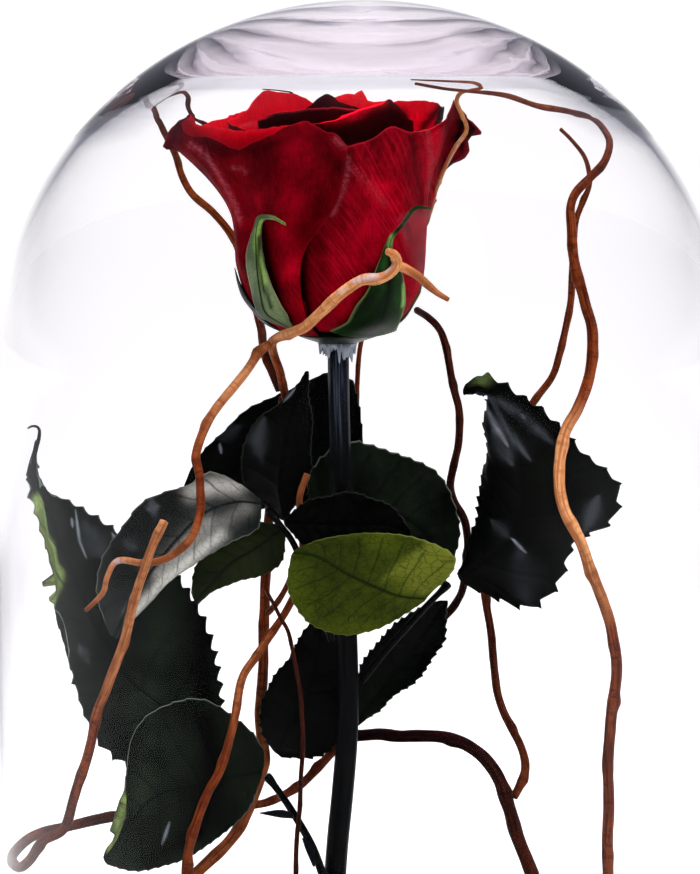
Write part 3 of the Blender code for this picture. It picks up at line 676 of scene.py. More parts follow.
def make_dome(looks):
    """The dome, whose crown is thicker and faintly rippled on its inside."""
    foot = BASE_EDGE_HEIGHT + REST_GAP
    middle = DOME_CENTRE_HEIGHT
    tilts = [0.4 * k for k in range(1, 116)] + [46.0 + 2.0 * k for k in range(1, 23)]
    inside = [(0, middle + DOME_RADIUS - crown_wall(0))]
    for tilt in tilts:
        r = DOME_RADIUS - crown_wall(tilt)
        inside.append((r * sin(radians(tilt)), middle + r * cos(radians(tilt))))
    inner = DOME_RADIUS - DOME_WALL
    walls = [(inner, middle + (foot + LIP_HEIGHT - middle) * k / WALL_STEPS)
             for k in range(1, WALL_STEPS + 1)]
    lip = [(DOME_RADIUS - DOME_WALL / 2 - DOME_WALL / 2 * cos(a),
            foot + DOME_WALL / 2 - DOME_WALL / 2 * sin(a))
           for a in [pi * k / LIP_STEPS for k in range(1, LIP_STEPS)]]
    outer = [(DOME_RADIUS, foot + LIP_HEIGHT + (middle - foot - LIP_HEIGHT) * k / WALL_STEPS)
             for k in range(WALL_STEPS + 1)]
    over = [(DOME_RADIUS * sin(radians(t)), middle + DOME_RADIUS * cos(radians(t)))
            for t in reversed(tilts[:-1])]
    rings = inside + walls + lip + outer + over + [(0, middle + DOME_RADIUS)]
    points, faces = turned(rings, DOME_TURNS)
    for p in points[:1 + DOME_TURNS * len(tilts)]:
        rise = p.z - middle
        if rise < 30:
            continue
        share = step(50, 84, rise)
        reach = hypot(p.x, p.y)
        turn = atan2(p.y, p.x)
        bent = reach + 5.0 * rough_at(cos(turn) * 1.7, sin(turn) * 1.7, 2.0)
        wave = rough_at(bent * 0.30, cos(turn) * 1.5, sin(turn) * 1.5)
        wave *= 1 - 0.85 * step(0.35, 0.85, abs(p.x) / max(reach, 1.0))
        wave += 2.5 * rough_at(p.x * 0.025, p.y * 0.025, 4.7)
        radial = Vector((p.x, p.y, rise)).normalized()
        if reach > 1:
            tilt = degrees(atan2(reach, rise))
            p -= radial * between(CROWN_SIDES, tilt) * step(0.70, 0.98, abs(p.x) / reach)
        amount = CROWN_RIPPLE * share
        p += radial * amount * wave
    made = add_piece("glass_dome", points, faces, looks, "dome_glass")
    made.visible_shadow = False
    made.visible_diffuse = False


# The rose head.


def cup_radius(layer, angle, height):
    """How far from the rose's axis the petal layer lies. layer runs from 0 inside to 1 outside."""
    scale = INNER_SCALE + (1 - INNER_SCALE) * layer
    lift = INNER_LIFT * (1 - layer)
    reach = (height - lift) * CUP_HEIGHT / (CUP_HEIGHT - lift)
    radius = scale * eased(CUP, max(reach, 0.0))
    for middle, power, start_height, run, most in (LEFT_FLARE, RIGHT_FLARE):
        rise = step(0.0, 1.0, (height - start_height) / run)
        facing = max(cos(angle - radians(middle)), 0.0) ** power
        radius += layer ** 2 * most * facing * rise
    return radius


def axis_at(height):
    """Where the leaning rose's axis lies across at this height."""
    lean = ROSE_LEAN * sin(pi * min(height / CUP_HEIGHT, 1.0))
    return ROSE_FOOT[0] - lean


def on_rose(angle, radius, height):
    """The place at this angle and distance from the rose's axis."""
    return Vector((axis_at(height) + radius * cos(angle),
                   ROSE_FOOT[1] + radius * sin(angle), ROSE_FOOT[2] + height))


def on_skin(across, down, off):
    """The front place that this spot shows, off millimetres outside the outermost petals."""
    outside = -75.0
    inside = 0.0
    for _ in range(30):
        depth = (outside + inside) / 2
        p = spot(across, down, depth)
        height = p.z - ROSE_FOOT[2]
        x = p.x - axis_at(max(height, 0.0))
        wide = cup_radius(1.0, atan2(p.y, x), max(height, 0.5)) + off
        if hypot(x, p.y) > wide:
            outside = depth
        else:
            inside = depth
    return spot(across, down, inside)


FLAT = ((-1, 0.0), (1, 0.0))

# Outermost first: middle angle, half width, then as (share across, value) pairs the rim's height, its
# roll in degrees and the roll's radius, how far the side edges turn out, and in pairs how far the rim
# hangs on straight past its roll.
OUTER_PETALS = (
    (-136, 55, ((-1, 47), (-0.86, 49), (-0.76, 51), (-0.6, 55.4), (-0.42, 58.8), (-0.34, 57.0),
        (-0.2, 55.5), (-0.05, 54.6), (0.17, 54.3), (0.45, 55.3), (0.56, 56.2), (0.635, 57.2),
        (0.7, 55.9), (0.775, 54.6), (0.9, 53.2), (1, 50.5)), ((-1, 60), (-0.86, 112), (-0.76, 135),
        (-0.68, 95), (-0.6, 70), (-0.42, 15), (-0.33, 125), (-0.2, 176), (0.2, 188), (0.42, 165),
        (0.54, 95), (0.625, 20), (1, 10)), ((-1, 1.4), (-0.8, 1.5), (-0.68, 1.9), (-0.6, 2.4),
        (-0.42, 3.0), (-0.32, 3.8), (1, 3.8)), 0.6, ((-1, 0), (-0.82, 0), (-0.765, 2.6), (-0.71, 0),
        (-0.6, 0), (1, 0))),
    (-50, 59, ((-1, 47.5), (-0.8, 48.5), (-0.585, 50.2), (-0.4, 51.6), (-0.3, 52.9), (-0.2, 55.2),
        (-0.144, 55.4), (-0.04, 54.1), (0.15, 54.3), (0.29, 55.1), (0.45, 56.4), (0.56, 57.8),
        (0.66, 60.2), (0.76, 62.6), (0.84, 61.5), (0.92, 58), (1, 54)), ((-1, 5), (-0.3, 10),
        (-0.2, 30), (-0.08, 85), (0.25, 95), (0.5, 60), (0.76, 15), (1, 10)), ((-1, 1.4), (1, 1.4)),
        0.5, FLAT),
    (26, 46, ((-1, 57), (-0.85, 60), (-0.6, 60.5), (-0.3, 60.5), (-0.1, 62), (0.2, 62.8), (1, 62.8)),
        ((-1, 8), (1, 12)), ((-1, 1.5), (1, 1.5)), 0.4, FLAT),
    (112, 60, ((-1, 61.5), (-0.75, 62.8), (-0.66, 63.4), (-0.6, 66.2), (-0.54, 64.3), (-0.45, 64.4),
        (-0.3, 63), (0, 62), (0.4, 61.6), (0.7, 59.6), (0.85, 58.3), (1, 55.8)), ((-1, 12), (1, 15)),
        ((-1, 1.2), (1, 1.2)), 0.3, FLAT),
    (150, 60, ((-1, 58), (-0.83, 60.5), (-0.73, 62), (-0.63, 63.2), (-0.48, 64.7), (-0.27, 65.5),
        (-0.15, 65.9), (-0.073, 64.6), (0.003, 62.6), (0.133, 59.6), (0.248, 58.4), (0.517, 57),
        (0.9, 54.5), (1, 54)), ((-1, 12), (-0.4, 14), (0, 25), (1, 30)), ((-1, 1.2), (1, 1.2)), 0.3,
        FLAT),
    (-70, 75, ((-1, 54), (-0.67, 55), (-0.39, 56.2), (-0.12, 58.9), (0.107, 61.2), (0.22, 62.8),
        (0.27, 63.0), (0.33, 61.8), (0.45, 59.8), (0.6, 58.2), (0.83, 56.5), (1, 54)), ((-1, 60),
        (-0.4, 120), (0.0, 140), (0.15, 120), (0.27, 30), (0.6, 20), (1, 30)), ((-1, 1.5), (1, 1.5)),
        0.3, FLAT),
    (-105, 60, ((-1, 57), (-0.68, 58.9), (-0.34, 59.5), (0.066, 60.5), (0.37, 60.1), (0.75, 59),
        (1, 57)), ((-1, 20), (0, 60), (1, 20)), ((-1, 0.8), (1, 0.8)), 0.2, FLAT),
    (-95, 50, ((-1, 57.5), (-0.53, 59.7), (-0.3, 61.9), (-0.1, 64.0), (0.0, 63.5), (0.12, 62.4),
        (0.48, 60.5), (1, 57.5)), ((-1, 5), (1, 5)), ((-1, 0.8), (1, 0.8)), 0.1, FLAT),
)

# Free edges that turn out in lobes: the side (1 right of the petal's middle), where across the petal
# it begins, how sharply, and how far by height.
EDGE_FLAPS = {
    13: (1, 0.8, 1.5, ((0, 0), (30, 0.4), (36, 2.2), (41.6, 2.9), (45.0, 5.0), (45.8, 5.8), (46.7, 8.0),
        (48.8, 8.3), (51.5, 6.6), (52.7, 5.7), (53.3, 9.4), (55, 9.2), (66, 9.2))),
    11: (1, 0.78, 1.5, ((0, 0), (42, 0), (48, 3.0), (54, 5.2), (66, 5.4))),
}

# The front left petal's right edge as (height, angle) pairs.
FRONT_EDGE = ((0, -112), (12, -110.6), (20, -108.7), (25, -104.6), (29, -97.5), (36, -87.6),
    (42, -84.5), (49, -83.5), (60, -84))

# Soft ridges on the front petals: petal, spots along it, height and half width in millimetres.
RIDGES = (
    (14, ((184, 146), (205, 158), (222, 180), (236, 204), (243, 228), (246, 262)), 1.5, 2.0),
    (14, ((280, 190), (288, 230), (292, 280), (296, 320)), 1.0, 3.2),
    (13, ((436, 128), (431, 170), (424, 215), (414, 262)), 1.1, 2.2),
    (13, ((352, 190), (345, 225), (330, 262), (322, 300)), 0.9, 3.0),
    (13, ((398, 150), (404, 195), (396, 240), (380, 290)), 0.6, 4.0),
)

# Painted light and shade: how light a petal's outside and its inside are, how strongly a painted
# highlight lines its rim, and how strongly slanted pale streaks of painted highlight show on it.
PETAL_LIGHT = {
    14: (0.92, 0.62, 0.08, 0.25), 13: (1.12, 0.75, 0.2, 1.0), 12: (0.5, 1.45, 0.06, 0.3),
    11: (0.4, 1.45, 0.08, 0.3), 10: (0.4, 1.1, 0.12, 0.4), 9: (0.12, 0.6, 0.08, 0.2),
    8: (0.1, 0.55, 0.5, 0.2), 7: (0.14, 0.5, 0.05, 0.1),
}
PLAIN_PETAL = (0.3, 0.5, 0.1, 0.2)
# The petal whose strokes of painted light lift it from nearly black.
DARK_PETAL = 9

# Strokes on the petals: darker ones paint shade in hollows, folds and under overlapping edges, and
# lighter ones paint light. Each has spots in the front view, half width and strength.
PETAL_STROKES = {
    14: ((((184, 121), (177, 130), (172, 141), (168, 148)), 9, -0.62), (((192, 128), (200, 138),
        (212, 147), (230, 151), (255, 150), (280, 142), (298, 134)), 6, -0.45), (((322, 140),
        (328, 165), (322, 195), (308, 222), (298, 240)), 12, -0.42), (((270, 140), (262, 165),
        (256, 180)), 14, -0.15), (((262, 196), (275, 212)), 16, 0.4), (((286, 228), (291, 262),
        (296, 300)), 11, 1.0), (((263, 222), (266, 245), (271, 270), (279, 295), (291, 320)), 4.6,
        -0.97), (((238, 232), (240, 262), (246, 290)), 5, 0.5), (((214, 172), (230, 195), (240, 222)),
        6, 0.35)),
    13: ((((306, 238), (304, 262), (304, 290), (309, 318)), 5.0, -0.95), (((318, 246), (322, 280),
        (326, 318)), 9, -0.3), (((352, 152), (349, 158), (347, 165)), 5, -0.6), (((362, 172),
        (384, 190), (402, 222)), 14, 0.55), (((411, 140), (417, 175), (421, 212)), 5, -0.55),
        (((430, 122), (434, 150), (432, 200), (429, 245)), 6.0, 0.6), (((446, 118), (449, 145),
        (441, 172)), 6.5, -0.55), (((458, 104), (466, 122), (477, 134)), 9, -0.95), (((459, 122),
        (457, 138)), 5, -0.9), (((464, 142), (464, 160), (450, 168)), 9, -0.93), (((438, 182),
        (436, 200)), 4, -0.5), (((372, 145), (384, 136)), 6, -0.45), (((395, 240), (375, 290)), 12,
        -0.1)),
    12: ((((404, 112), (409, 122)), 5, -0.7), (((440, 104), (452, 102)), 6, -0.5), (((424, 128),
        (432, 116), (442, 110)), 4.5, -0.9)),
    9: ((((326, 123), (345, 118), (365, 110), (381, 102)), 5.0, 3.0), (((398, 106), (418, 118)), 5,
        0.5)),
}

# Pale lines of painted highlight along creases and edges on the petals, given the same way.
PETAL_HIGHLIGHT_LINES = {
    14: ((((190, 144), (200, 149.5), (209, 159.5), (216, 169), (226, 186), (236, 206), (241, 222)), 2.2,
        0.75), (((232, 168), (240, 167), (247, 173)), 1.3, 0.5), (((335, 140), (342, 147)), 2.6, 0.5)),
    13: ((((347, 158), (347, 176), (342, 194), (333, 214)), 2.6, 0.45), (((352, 168), (368, 184),
        (384, 204)), 3.0, 0.22), (((427, 130), (431, 160), (428, 190)), 2.2, 0.35)),
    10: ((((206, 122), (220, 121), (228, 126)), 1.4, 0.7), (((240, 126), (262, 122), (275, 115)), 1.3,
        0.6)),
}


def petals():
    """Number, layer, middle, half width, rim, roll, roll radius, edge turn and hang of every petal."""
    found = []
    for k in range(PETAL_COUNT):
        layer = k / (PETAL_COUNT - 1)
        outer = PETAL_COUNT - 1 - k
        if outer < len(OUTER_PETALS):
            values = OUTER_PETALS[outer]
        else:
            tall = 57.0 + 0.3 * k + 1.6 * sin(2.4 * k)
            rim = ((-1, tall - 8), (-0.5, tall - 1.5), (-0.1, tall + 0.6), (0.15, tall - 0.6),
                   (0.5, tall - 1.0), (1, tall - 8))
            roll = ((-1, 20), (0, 60 + 8 * k), (1, 20))
            bend = 0.7 + 0.12 * k
            values = (137.5 * k + 40, 74 - 1.2 * k, rim, roll, ((-1, bend), (1, bend)), 0.3, FLAT)
        found.append((k + 1, layer, *values))
    return found


def ridge_lines(number):
    """This petal's ridges as lines of (arc, height) places with their size."""
    lines = []
    for petal, spots, high, wide in RIDGES:
        if petal != number:
            continue
        places = []
        for p in smooth_path([on_skin(*s, 0.0) for s in spots], RIDGE_STEPS):
            places.append(Vector((p.x, p.z, 0)))
        lines.append((places, high, wide))
    return lines


def flap_at(number, a, height):
    """How far the petal's edge turns out here."""
    if number not in EDGE_FLAPS:
        return 0.0
    facing, begins, power, table = EDGE_FLAPS[number]
    return between(table, height) * (max(a * facing - begins, 0.0) / (1 - begins)) ** power


def petal_rows(number, layer, middle, half, rim, roll, bends, turn_out, hang):
    """The petal's grid of places, and for each its run, side, nearness to the rim and depth."""
    steps = PETAL_STEPS
    low = INNER_LIFT * (1 - layer) + 0.6
    lines = ridge_lines(number)
    seed = number * 7.31
    foot = 1.06 if number >= PETAL_COUNT - 1 else 0.62
    rows = []
    run = []
    side = []
    near_rim = []
    below = []
    for i in range(steps[0] + 1):
        v = 1 - (1 - i / steps[0]) ** 1.6
        width = half * (foot + (1 - foot) * sin(pi / 2 * min(v * 1.5, 1.0)))
        row = []
        for a in shares(steps[1]):
            ragged = 0.35 * rough_at(a * 9, seed, 0) + 0.2 * rough_at(a * 31, seed, 5)
            top = eased(rim, a) + ragged * (0.4 + layer)
            rolled = radians(eased(roll, a)) * (0.9 + 0.25 * rough_at(a * 4, seed, 9))
            bend = eased(bends, a)
            rise = bend * sin(min(rolled, pi / 2))
            straight = top - low - rise
            total = straight + bend * rolled + max(eased(hang, a), 0.0)
            s = total * v
            turn = min(max(s - straight, 0.0) / bend, rolled)
            past = max(s - straight - bend * rolled, 0.0)
            height = low + min(s, straight) + bend * sin(turn) + past * cos(turn)
            out = bend * (1 - cos(turn)) + past * sin(turn)
            base = min(s, straight) + low
            left = middle - width
            right = middle + width
            if number == PETAL_COUNT:
                right = eased(FRONT_EDGE, base)
            angle = radians((left + right) / 2 + (right - left) / 2 * a)
            radius = cup_radius(layer, angle, base)
            lean = (radius - cup_radius(layer, angle, base - 2)) / 2
            radius += out + max(lean, 0.0) * (height - base)
            edge = max(abs(a) - 0.84, 0.0) / 0.16
            radius += turn_out * edge * edge * step(0.25, 0.7, v)
            radius += flap_at(number, a, base)
            soft = rough_at(a * 2.2, v * 2.6, seed)
            fold = rough_at(a * 7.0, v * 1.6, seed + 3)
            crease = rough_at(a * 17.0, v * 2.2, seed + 6)
            radius += layer * step(0.1, 0.5, v) * (0.70 * soft + 0.34 * fold + 0.12 * crease)
            p = on_rose(angle, radius, height)
            if p.y < 5:
                for places, high, wide in lines:
                    gap = min((Vector((p.x, p.z, 0)) - q).length for q in places)
                    lift = high * exp(-(gap / wide) ** 2) * (1 - step(0.0, 0.6, turn))
                    p += Vector((cos(angle), sin(angle), 0)) * lift
            row.append(p)
            run.append(s)
            below.append(total - s)
            side.append(a * half * 0.45)
            near_rim.append(max(step(0.985, 1.0, v), step(0.98, 1.0, abs(a)) * step(0.3, 0.6, v)))
        rows.append(row)
    return rows, run, side, near_rim, below


def make_petals(looks):
    """The petals, each with its strokes of painted light and shade and its pale lines of painted
    highlight.
    """
    for number, layer, *shape in petals():
        rows, run, side, near_rim, below = petal_rows(number, layer, *shape)
        count = len(run)
        outside, inside, glow, streaks = PETAL_LIGHT.get(number, PLAIN_PETAL)
        stroked = painted(rows, PETAL_STROKES.get(number, ()), 1.0)
        light = [outside * stroke for stroke in stroked]
        if number == DARK_PETAL:
            light = [outside + stroke - 1.0 for stroke in stroked]
        # Painted shade: the inside darkens deeper below the rim.
        light += [inside * stroke * (1 - 0.8 * step(3, 20, deep))
                  for stroke, deep in zip(stroked, below)]
        # The rim number paints a highlight along the rim.
        values = both_sides(run=run, side=side, rim=[glow * near for near in near_rim],
                            chalk=painted(rows, PETAL_HIGHLIGHT_LINES.get(number, ())),
                            worn=[streaks] * count, tone=[(number * 0.381) % 1.0] * count)
        values.update(inner=[0.0] * count + [1.0] * count, light=light)
        points, faces = sheet(rows, PETAL_THICKNESS, 0.4)
        add_piece("petal_%02d" % number, points, faces, looks, "rose_petal", values)


# Sepals seen in the front view: left edge, fold and right edge from foot to tip, each spot with its
# distance off the petals.
FRONT_SEPALS = {
    "sepal_front_left": (((293, 329, 1.0), (270, 322, 1.0), (258, 314, 1.0), (253, 298, 1.0),
        (248, 274, 1.0), (246, 255, 1.1), (253, 231, 1.3), (258, 217, 2.2), (272, 216, 4.0),
        (286, 224, 5.2)), ((294, 330, 2.0), (280, 322, 3.0), (266, 312, 3.6), (261, 292, 3.8),
        (258, 270, 3.6), (257, 250, 3.2), (257, 232, 2.8), (261, 219, 3.2), (273, 218, 4.6),
        (286, 225, 5.6)), ((296, 330, 1.0), (288, 316, 1.0), (277, 297, 1.0), (269, 278, 1.0),
        (264, 258, 1.0), (262, 242, 1.1), (262, 229, 1.3), (264, 221, 2.4), (274, 220, 4.0),
        (286, 226, 5.2))),
    "sepal_front_right": (((330, 331, 1.0), (347, 322, 1.0), (355, 307, 1.0), (365, 295, 1.0),
        (373, 277, 1.0), (380, 259, 1.1), (385, 246, 1.4), (390, 236, 2.2), (400, 225, 3.4),
        (414, 207, 5.0), (431, 208, 6.4)), ((360, 337, 1.4), (378, 324, 2.0), (385, 308, 2.4),
        (388, 294, 2.4), (389, 276, 2.2), (389, 260, 2.0), (389, 247, 2.0), (392, 237, 2.6),
        (402, 226, 3.8), (415, 209, 5.2), (431, 209, 6.4)), ((396, 331, 1.0), (401, 318, 1.0),
        (405, 304, 1.0), (405, 290, 1.0), (402, 274, 1.0), (396, 258, 1.1), (392, 247, 1.4),
        (393, 238, 2.2), (403, 227, 3.4), (416, 210, 5.0), (431, 210, 6.4))),
}

# Sepals on the outside of the head: middle angle, half width, foot, tip height, how far off, and how
# far the tip bends out.
SIDE_SEPALS = {
    "sepal_right": (32, 12, 0.5, 35.5, 0.9, 6.0), "sepal_back": (95, 18, 0.5, 28, 1.0, 0.4),
    "sepal_left": (184, 24, 0.5, 18, 0.8, 0.2),
}

# Strokes of painted shade (darker, as in the front left sepal's fold) and painted light (lighter),
# and bright green ones, on the sepals.
SEPAL_STROKES = {
    "sepal_front_left": ((((259, 238), (259, 262), (263, 285), (272, 308)), 1.5, -0.9), (((254, 300),
        (262, 316), (280, 328)), 5, -0.5), (((266, 272), (274, 300)), 2.5, 0.5), (((251, 262),
        (253, 290)), 2.5, 0.6)),
    "sepal_front_right": ((((384, 262), (382, 290), (372, 312)), 2.5, 1.2), (((396, 275), (396, 305)),
        2.5, 1.0), (((390, 262), (389, 300)), 2.0, -0.6), (((402, 285), (401, 315)), 2.0, 1.6)),
    "sepal_left": ((((236, 270), (250, 305), (290, 332)), 30, -0.95),),
}
SEPAL_PALE = {
    "sepal_front_left": ((((262, 221), (258, 230), (256.5, 245), (260, 262), (265, 284)), 2.2, 0.95),
        (((272, 218), (285, 224)), 2.0, 0.5)),
    "sepal_front_right": ((((391, 236), (389, 246)), 2.5, 0.9), (((404, 282), (403, 305)), 1.6, 0.8)),
}


def across_three(one, rib, other, a):
    """The place at share a on a curve from one edge by the rib."""
    return one * (a * (a - 1) / 2) + rib * (1 - a * a) + other * (a * (a + 1) / 2)


def side_sepal_rows(middle, half, low, tip, off, tip_off):
    """A sepal's grid of places on the head."""
    steps = SEPAL_STEPS
    rows = []
    for i in range(steps[0] + 1):
        v = i / steps[0]
        width = half * (1 - v ** 1.6) * (0.7 + 0.5 * v) + 0.6
        height = low + (tip - low) * v
        row = []
        for a in shares(steps[1]):
            angle = radians(middle + width * a)
            keel = 1.0 * (1 - abs(a)) * sin(pi * min(v + 0.1, 1.0))
            radius = cup_radius(1.0, angle, height) + off + 0.4 * keel + tip_off * v ** 6
            row.append(on_rose(angle, radius, height))
        rows.append(row)
    return rows


def make_sepals(skins):
    """The five sepals under the head."""
    steps = SEPAL_STEPS
    shapes = {}
    for name, lines in FRONT_SEPALS.items():
        edges = [smooth_path([on_skin(*p) for p in line], steps[0]) for line in lines]
        shapes[name] = [[across_three(*three, a) for a in shares(steps[1])]
                        for three in zip(*edges)]
    for name, values in SIDE_SEPALS.items():
        shapes[name] = side_sepal_rows(*values)
    for name, rows in shapes.items():
        run = []
        side = []
        rim = []
        vein = []
        for i, row in enumerate(rows):
            half = (row[-1] - row[0]).length / 2
            for a, p in zip(shares(steps[1]), row):
                rag = 0.25 * rough_at(i * 0.35, a * 2, half)
                p += (row[-1] - row[0]).normalized() * rag * abs(a)
                run.append(i * 0.8)
                side.append(a * half)
                rim.append(step(0.75, 1.0, abs(a)))
                vein.append(exp(-(a / 0.10) ** 2))
        # The light numbers paint light and shade.
        values = both_sides(run=run, side=side, rim=rim, vein=vein, chalk=[0.0] * len(run),
                            light=painted(rows, SEPAL_STROKES.get(name, ()), 1.0),
                            pale=painted(rows, SEPAL_PALE.get(name, ())))
        looks = skins["sepal_skin" if name == "sepal_front_left" else "sepal_dark_skin"]
        add_piece(name, *sheet(rows, SEPAL_THICKNESS, 0.4), looks, "sepal_green", values)


def make_receptacle(looks):
    """The hip under the head, with a ragged collar of pale glue where the stem enters it."""
    profile = [(0, -3.0), (3.2, -3.0), (4.6, -2.4), (6.6, -1.7), (8.5, -1.1), (10.0, -0.6),
               (11.0, -0.2), (11.2, 0.0), (10.6, 0.3), (9.2, 2.2), (5.9, 7.0), (3.4, 10.6),
               (1.0, 14.0), (0, 14.1)]
    points, faces = turned(profile, HIP_TURNS)
    for p in points:
        turn = atan2(p.y, p.x)
        rag = rough_at(cos(turn) * 2.2, sin(turn) * 2.2, p.z * 0.5)
        p.x *= 1 + 0.04 * rag
        p.y *= 1 + 0.04 * rag

    def part(points, faces, chalk):
        count = len(points)
        return points, faces, {"run": [p.z for p in points], "rim": [0.0] * count,
                               "chalk": [chalk] * count,
                               "side": [atan2(p.y, p.x) * 5 for p in points]}

    parts = [part(points, faces, 0.0)]
    for layer, top, low in ((0, 5.3, 4.3), (1, 4.3, 3.5)):
        glue = []
        for k in range(GLUE_TURNS):
            a = 2 * pi * k / GLUE_TURNS
            around = Vector((cos(a), sin(a), 0))
            slow = noise.noise(around * 1.6 + Vector((0, 0, 3 + layer)))
            fast = noise.noise(around * 6.0 + Vector((0, 0, 8 + layer)))
            tiny = noise.noise(around * 17.0 + Vector((0, 0, 2 + layer)))
            long = max(0.5 + 0.7 * layer + 3.6 * slow + 3.4 * fast + 1.4 * tiny, 0.1)
            out = low + 1.3 * fast + 0.5 * slow
            half_way = (top + out) / 2
            for radius, z in ((top, -2.2), (half_way + 0.3 * tiny, -2.7 - long / 2),
                              (out, -3.0 - long), (out - 0.3, -3.0 - long),
                              (half_way - 0.45 + 0.3 * tiny, -2.7 - long / 2), (top - 0.5, -2.4)):
                glue.append(around * max(radius, 3.3) + Vector((0, 0, z)))
        skin = []
        for k in range(GLUE_TURNS):
            n = (k + 1) % GLUE_TURNS
            for r in range(6):
                q = (r + 1) % 6
                skin.append((k * 6 + r, k * 6 + q, n * 6 + q, n * 6 + r))
        parts.append(part(glue, skin, 0.75))
    points, faces, values = joined(parts)
    moved = [p + Vector(ROSE_FOOT) for p in points]
    values.update({"vein": [0.0] * len(points), "pale": [0.0] * len(points),
                   "light": [1.0] * len(points)})
    add_piece("receptacle", moved, faces, looks, "sepal_green", values)


# The rose's stem, from the head down.
STEM = ((338, 348.5, 0), (339, 400, 0), (341, 470, 0), (344, 560, 0), (348, 660, 0), (348, 725, 0),
    (343, 790, 0), (338, 839, 0), (335, 890, 0), (334, 1000, 0), (334, 1110, 0))

